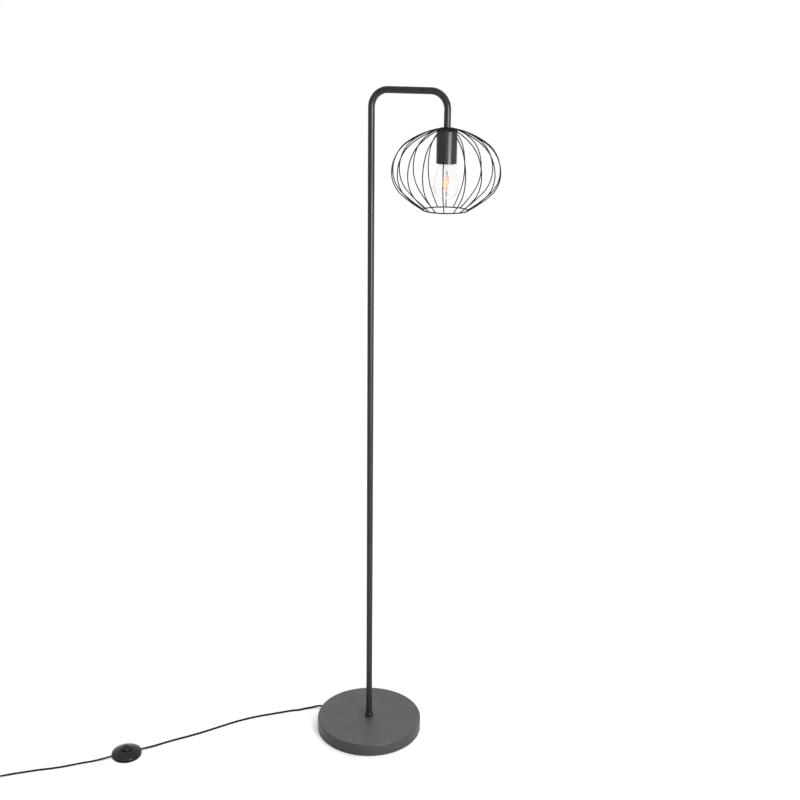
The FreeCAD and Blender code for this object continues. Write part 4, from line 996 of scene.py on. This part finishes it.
# -------- foot switch
EDGE_Z = 8.4
DOME_TOP = 19.5
WELL_RADIUS = 15.8
WELL_FLOOR = 15.0
BUTTON_RADIUS = 12.8
BUTTON_EDGE = 21.5
BUTTON_CROWN = 29.0
SWITCH_FRAME = standing(SWITCH_CENTRE, SWITCH_ANGLE)
SWITCH_WALL = 2.0
SEAM_HALF = 0.1
WELL_FLOOR_THICK = 1.2
BUTTON_GAP = 0.3
PORT_RADIUS = 2.85


def crown(radius, rise):
    """The radius of the ball whose cap has this radius and rise."""
    return (radius * radius + rise * rise) / (2 * rise)


def crown_line(bend, outer, inner, top, steps):
    """Points of the arc about the axis from one radius in to another."""
    points = []
    for k in range(steps + 1):
        radius = outer + (inner - outer) * k / steps
        points.append((radius, top - bend + math.sqrt(bend * bend - radius * radius)))
    return points


def switch_hole():
    """The cord's two ports, as one rod right through the shells."""
    length = 2 * SWITCH_RADIUS + 10
    section = circle(PORT_RADIUS, 24)
    start = Vector((-length / 2, 0, SEAM_Z))
    rings = [ring_at(start + Vector((s, 0, 0)), Vector((1, 0, 0)), UP, section) for s in (0, length)]
    return plain_object("switch_hole", moved(loft(rings), SWITCH_FRAME))


def make_switch():
    bend = crown(SWITCH_RADIUS, DOME_TOP - EDGE_Z)
    inside = SWITCH_RADIUS - SWITCH_WALL
    well_under = WELL_FLOOR - WELL_FLOOR_THICK
    well_outside = WELL_RADIUS + WELL_FLOOR_THICK
    outer = crown_line(bend, SWITCH_RADIUS, WELL_RADIUS, DOME_TOP, 22)
    inner = crown_line(bend - SWITCH_WALL, well_outside, inside, DOME_TOP - SWITCH_WALL, 12)
    hole = BUTTON_RADIUS + BUTTON_GAP
    seam = SEAM_Z + SEAM_HALF
    outline = [(inside, seam), (SWITCH_RADIUS, seam, 0.4), (*outer[0], 2.2)]
    outline += outer[2:-1] + [(*outer[-1], 0.5), (WELL_RADIUS, WELL_FLOOR, 0.4), (hole, WELL_FLOOR, 0.3),
                              (hole, well_under), (well_outside, well_under)] + inner
    mesh = lathe(rounded(outline, steps=6), 144)
    top = piece("switch_top_shell", moved(mesh, SWITCH_FRAME), SWITCH_PLASTIC,
                nodes=("switch_top",))
    cut_away(top, switch_hole())
    edge, seam = SWITCH_RADIUS - 0.3, SEAM_Z - SEAM_HALF
    outline = rounded([(0.0, 0.0), (edge, 0.0, 1.2), (edge, seam, 0.35), (inside, seam, 0.3),
                       (inside, SWITCH_WALL), (0.0, SWITCH_WALL)], loop=False)
    # The bottom shell takes the darker plastic, whose extra darkness is painted shade at the floor.
    bottom = piece("switch_bottom_shell", moved(lathe(outline, 144, closed=False), SWITCH_FRAME), SWITCH_BOTTOM_SHADED,
                   nodes=("switch_bottom",))
    cut_away(bottom, switch_hole())
    flange_top = well_under - BUTTON_GAP
    flange_low = flange_top - WELL_FLOOR_THICK
    flange = BUTTON_RADIUS + 2.0
    top_bend = crown(BUTTON_RADIUS, BUTTON_CROWN - BUTTON_EDGE)
    cap = crown_line(top_bend, BUTTON_RADIUS, 0.0, BUTTON_CROWN, 18)[::-1]
    outline = cap[:-2] + [(*cap[-1], 1.0), (BUTTON_RADIUS, flange_top), (flange, flange_top, 0.2),
                          (flange, flange_low, 0.2), (10.8, flange_low), (10.8, BUTTON_EDGE),
                          (3.5, BUTTON_EDGE), (3.5, 12.5, 0.3), (0.0, 12.5)]
    mesh = lathe(rounded(outline, loop=False, steps=6), 96, closed=False)
    piece("switch_button_cap", moved(mesh, SWITCH_FRAME), SWITCH_PLASTIC, body="button",
          nodes=("switch_button",), sharp=34.0)


make_switch()

# -------- cord tie and plug
TIE_BAND = 0.6
TIE_WIDTH = 8.0
TIE_GAP = 0.2
TIE_TURN = math.radians(20.0)


def make_tie():
    """A thin flat band closed round all the turns on one side of the coil."""
    reach = CORD_WIDTH / 2 + TIE_GAP
    half, side = TIE_BAND / 2, TIE_WIDTH / 2
    near = COIL_RADIUS - COIL_PITCH * 10 / 4 - reach - half
    far = COIL_RADIUS + COIL_PITCH / 4 + reach + half
    high = COIL_LOW_Z + COIL_LAYER + reach + half
    corners = [(near, half, 1.6), (far, half, 1.6), (far, high, 1.6), (near, high, 1.6)]
    line = [Vector((p.x, 0, p.y)) for p in rounded(corners, steps=6)]
    section = [tuple(p) for p in rounded([(-side, -half, 0.2), (side, -half, 0.2), (side, half, 0.2),
                                          (-side, half, 0.2)], steps=3)]
    mesh = sweep(line, lambda i: section, lambda i: Vector((0, 1, 0)), closed=True)
    place = standing(COIL_CENTRE, COIL_HEADING - math.pi / 2 + TIE_TURN)
    return piece("cord_tie_band", moved(mesh, place), TIE_PLASTIC, nodes=("cord_tie",))


PLUG_BOOT = 20.0
PLUG_SLOTS = 5
PLUG_SHOULDER = 17.0
PLUG_END = 57.0
PIN_REACH = 19.0
PIN_SPACING = 18.6


def plug_ring(x, half_width, half_thick, power, sides=64):
    """A cross-section that is round at power 2 and squarer above it."""
    ring = []
    for s in range(sides):
        angle = 2 * math.pi * s / sides
        c, n = math.cos(angle), math.sin(angle)
        ring.append(Vector((x, half_width * math.copysign(abs(c) ** (2 / power), c),
                            half_thick * math.copysign(abs(n) ** (2 / power), n))))
    return ring


def make_plug():
    sections = [(0.0, 2.9), (0.15, 3.4)]
    for k in range(PLUG_SLOTS):
        x = 1.2 + k * 3.0
        radius = 3.5 + 1.3 * x / PLUG_BOOT
        sections += [(x, radius), (x + 0.3, radius - 0.6), (x + 1.1, radius - 0.6), (x + 1.4, radius)]
    rings = [plug_ring(x, radius, radius, 2.0) for x, radius in sections]
    steps = 44
    for k in range(steps + 1):
        x = PLUG_SHOULDER + (PLUG_END - PLUG_SHOULDER) * k / steps
        widen = smooth_step(x, 18.0, 33.0)
        narrow = smooth_step(x, 33.0, PLUG_END)
        half_width = 4.8 + (17.3 - 4.8) * widen - 4.4 * narrow
        half_thick = 4.8 + (7.0 - 4.8) * smooth_step(x, 18.0, 30.0)
        grip = smooth_step(x, 31, 33) * (1 - smooth_step(x, 47, 49))
        half_width -= grip * 0.45 * (0.5 - 0.5 * math.cos(2 * math.pi * (x - 31) / 3.2))
        edge = max(0.0, (x - (PLUG_END - 1.6)) / 1.6)
        shrink = 1.6 * (1 - math.sqrt(max(0.0, 1 - edge * edge)))
        power = 2.0 + 2.6 * smooth_step(x, 18.0, 34.0)
        rings.append(plug_ring(x, half_width - shrink, half_thick - shrink, power))
    body = loft(rings)
    sleeves, pins = [], []
    for way in (-1, 1):
        place = Matrix.Translation((0, way * PIN_SPACING / 2, 0)) @ Matrix.Rotation(math.pi / 2, 4, "Y")
        sleeve = rounded([(0.0, PLUG_END - 1), (2.0, PLUG_END - 1), (2.0, PLUG_END + 10, 0.15),
                          (0.0, PLUG_END + 10)], loop=False)
        pin = rounded([(0.0, PLUG_END + 2), (1.85, PLUG_END + 2), (1.95, PLUG_END + 10.1, 0.1),
                       (1.95, PLUG_END + PIN_REACH, 1.5), (0.0, PLUG_END + PIN_REACH)], loop=False, steps=6)
        sleeves.append(moved(lathe(sleeve, 32, closed=False), place))
        pins.append(moved(lathe(pin, 32, closed=False), place))
    plug_frame = standing(plug_cord_end(), COIL_HEADING + COIL_QUARTERS * math.pi / 2)
    plug = piece("plug_moulding", moved(joined(body, *sleeves), plug_frame), PLUG_PLASTIC,
                 nodes=("plug_body",), sharp=40.0)
    prongs = piece("plug_prongs", moved(joined(*pins), plug_frame), PIN_METAL,
                   nodes=("plug_pins",), sharp=40.0)
    return plug, prongs


tie = make_tie()
plug, prongs = make_plug()

# -------- CAD pieces that stay
KEPT = {
    "base_weight": CAST_IRON, "base_pad": PAD_FOAM, "base_stud": ZINC, "cord_clamp": CLAMP_PLASTIC,
    "cord_clamp_screws": ZINC, "pole_end_bushes": ZINC, "pole_joint_pipes": ZINC, "pipe_nuts": ZINC,
    "pipe_washers": ZINC, "holder_nipple": ZINC, "holder_cap": HOLDER_PLASTIC, "holder_contact": BRASS,
    "switch_spring": ZINC, "switch_contact_block": CLAMP_PLASTIC, "switch_screws": ZINC,
    "cord_inside_lamp": CORD_SHEATH,
}
for node, finish in KEPT.items():
    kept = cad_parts[node]
    kept.data.materials.clear()
    kept.data.materials.append(finish)

# -------- floor, light and surroundings


def seen_or_mirrored(nodes, links):
    """1 for rays from the camera, from gloss and through glass, 0 for rays of soft light."""
    path = nodes.new("ShaderNodeLightPath")
    total = None
    for name in ("Is Camera Ray", "Is Glossy Ray", "Is Transmission Ray"):
        if total is None:
            total = path.outputs[name]
            continue
        node = nodes.new("ShaderNodeMath")
        node.operation = "MAXIMUM"
        links.new(total, node.inputs[0])
        links.new(path.outputs[name], node.inputs[1])
        total = node.outputs["Value"]
    return total


# The studio's own sizes and places are in metres.
FLOOR_COLOUR = grey(0.82)
FLOOR_GLOW = 0.17
SOFT_LIGHT = 0.30
FLOOR_REACH = 60.0
FLOOR_GAP = 0.0002


def make_floor():
    data = bpy.data.meshes.new("floor")
    corners = [(x * FLOOR_REACH, y * FLOOR_REACH, 0) for x, y in ((-1, -1), (1, -1), (1, 1), (-1, 1))]
    data.from_pydata(corners, [], [(0, 1, 2, 3)])
    floor = bpy.data.objects.new("floor", data)
    bpy.context.scene.collection.objects.link(floor)
    floor.location.z = -FLOOR_GAP
    material = bpy.data.materials.new("floor_white")
    material.use_nodes = True
    nodes, links = material.node_tree.nodes, material.node_tree.links
    bsdf = nodes["Principled BSDF"]
    bsdf.inputs["Base Color"].default_value = (*FLOOR_COLOUR, 1.0)
    bsdf.inputs["Roughness"].default_value = 1.0
    bsdf.inputs["Specular IOR Level"].default_value = 0.0
    glow = nodes.new("ShaderNodeEmission")
    total = seen_or_mirrored(nodes, links)
    strength = nodes.new("ShaderNodeMath")
    strength.operation = "MULTIPLY"
    strength.inputs[1].default_value = FLOOR_GLOW
    links.new(total, strength.inputs[0])
    links.new(strength.outputs["Value"], glow.inputs["Strength"])
    both = nodes.new("ShaderNodeAddShader")
    links.new(bsdf.outputs[0], both.inputs[0])
    links.new(glow.outputs[0], both.inputs[1])
    links.new(both.outputs[0], nodes["Material Output"].inputs["Surface"])
    data.materials.append(material)


def make_world():
    world = bpy.data.worlds.new("studio")
    bpy.context.scene.world = world
    world.use_nodes = True
    nodes, links = world.node_tree.nodes, world.node_tree.links
    background = nodes["Background"]
    background.inputs["Color"].default_value = (1, 1, 1, 1)
    total = seen_or_mirrored(nodes, links)
    node = nodes.new("ShaderNodeMapRange")
    node.inputs["To Min"].default_value = SOFT_LIGHT
    node.inputs["To Max"].default_value = 1.0
    links.new(total, node.inputs["Value"])
    links.new(node.outputs["Result"], background.inputs["Strength"])


def aimed_light(data, direction):
    light = bpy.data.objects.new(data.name, data)
    light.rotation_mode = "QUATERNION"
    light.rotation_quaternion = direction.to_track_quat("-Z", "Y")
    bpy.context.scene.collection.objects.link(light)
    return light


def area_light(name, place, target, width, height, power):
    data = bpy.data.lights.new(name, "AREA")
    data.shape = "RECTANGLE"
    data.size = width
    data.size_y = height
    data.energy = power
    light = aimed_light(data, Vector(target) - Vector(place))
    light.location = place


def sun_light(name, direction, strength, spread):
    """A wide even light from far off, which leaves highlights to the softbox."""
    data = bpy.data.lights.new(name, "SUN")
    data.energy = strength
    data.angle = math.radians(spread)
    aimed_light(data, Vector(direction)).visible_glossy = False


KEY_PLACE = (4.76, -3.77, 1.05)
KEY_TARGET = (0.1, 0.0, 1.25)
OVERHEAD_DIRECTION = (-0.15, -0.2, -1.0)

make_floor()
make_world()
area_light("key", KEY_PLACE, KEY_TARGET, width=1.9, height=2.1, power=620.0)
sun_light("overhead", OVERHEAD_DIRECTION, strength=2.4, spread=60.0)

bpy.context.scene.view_settings.view_transform = "Standard"
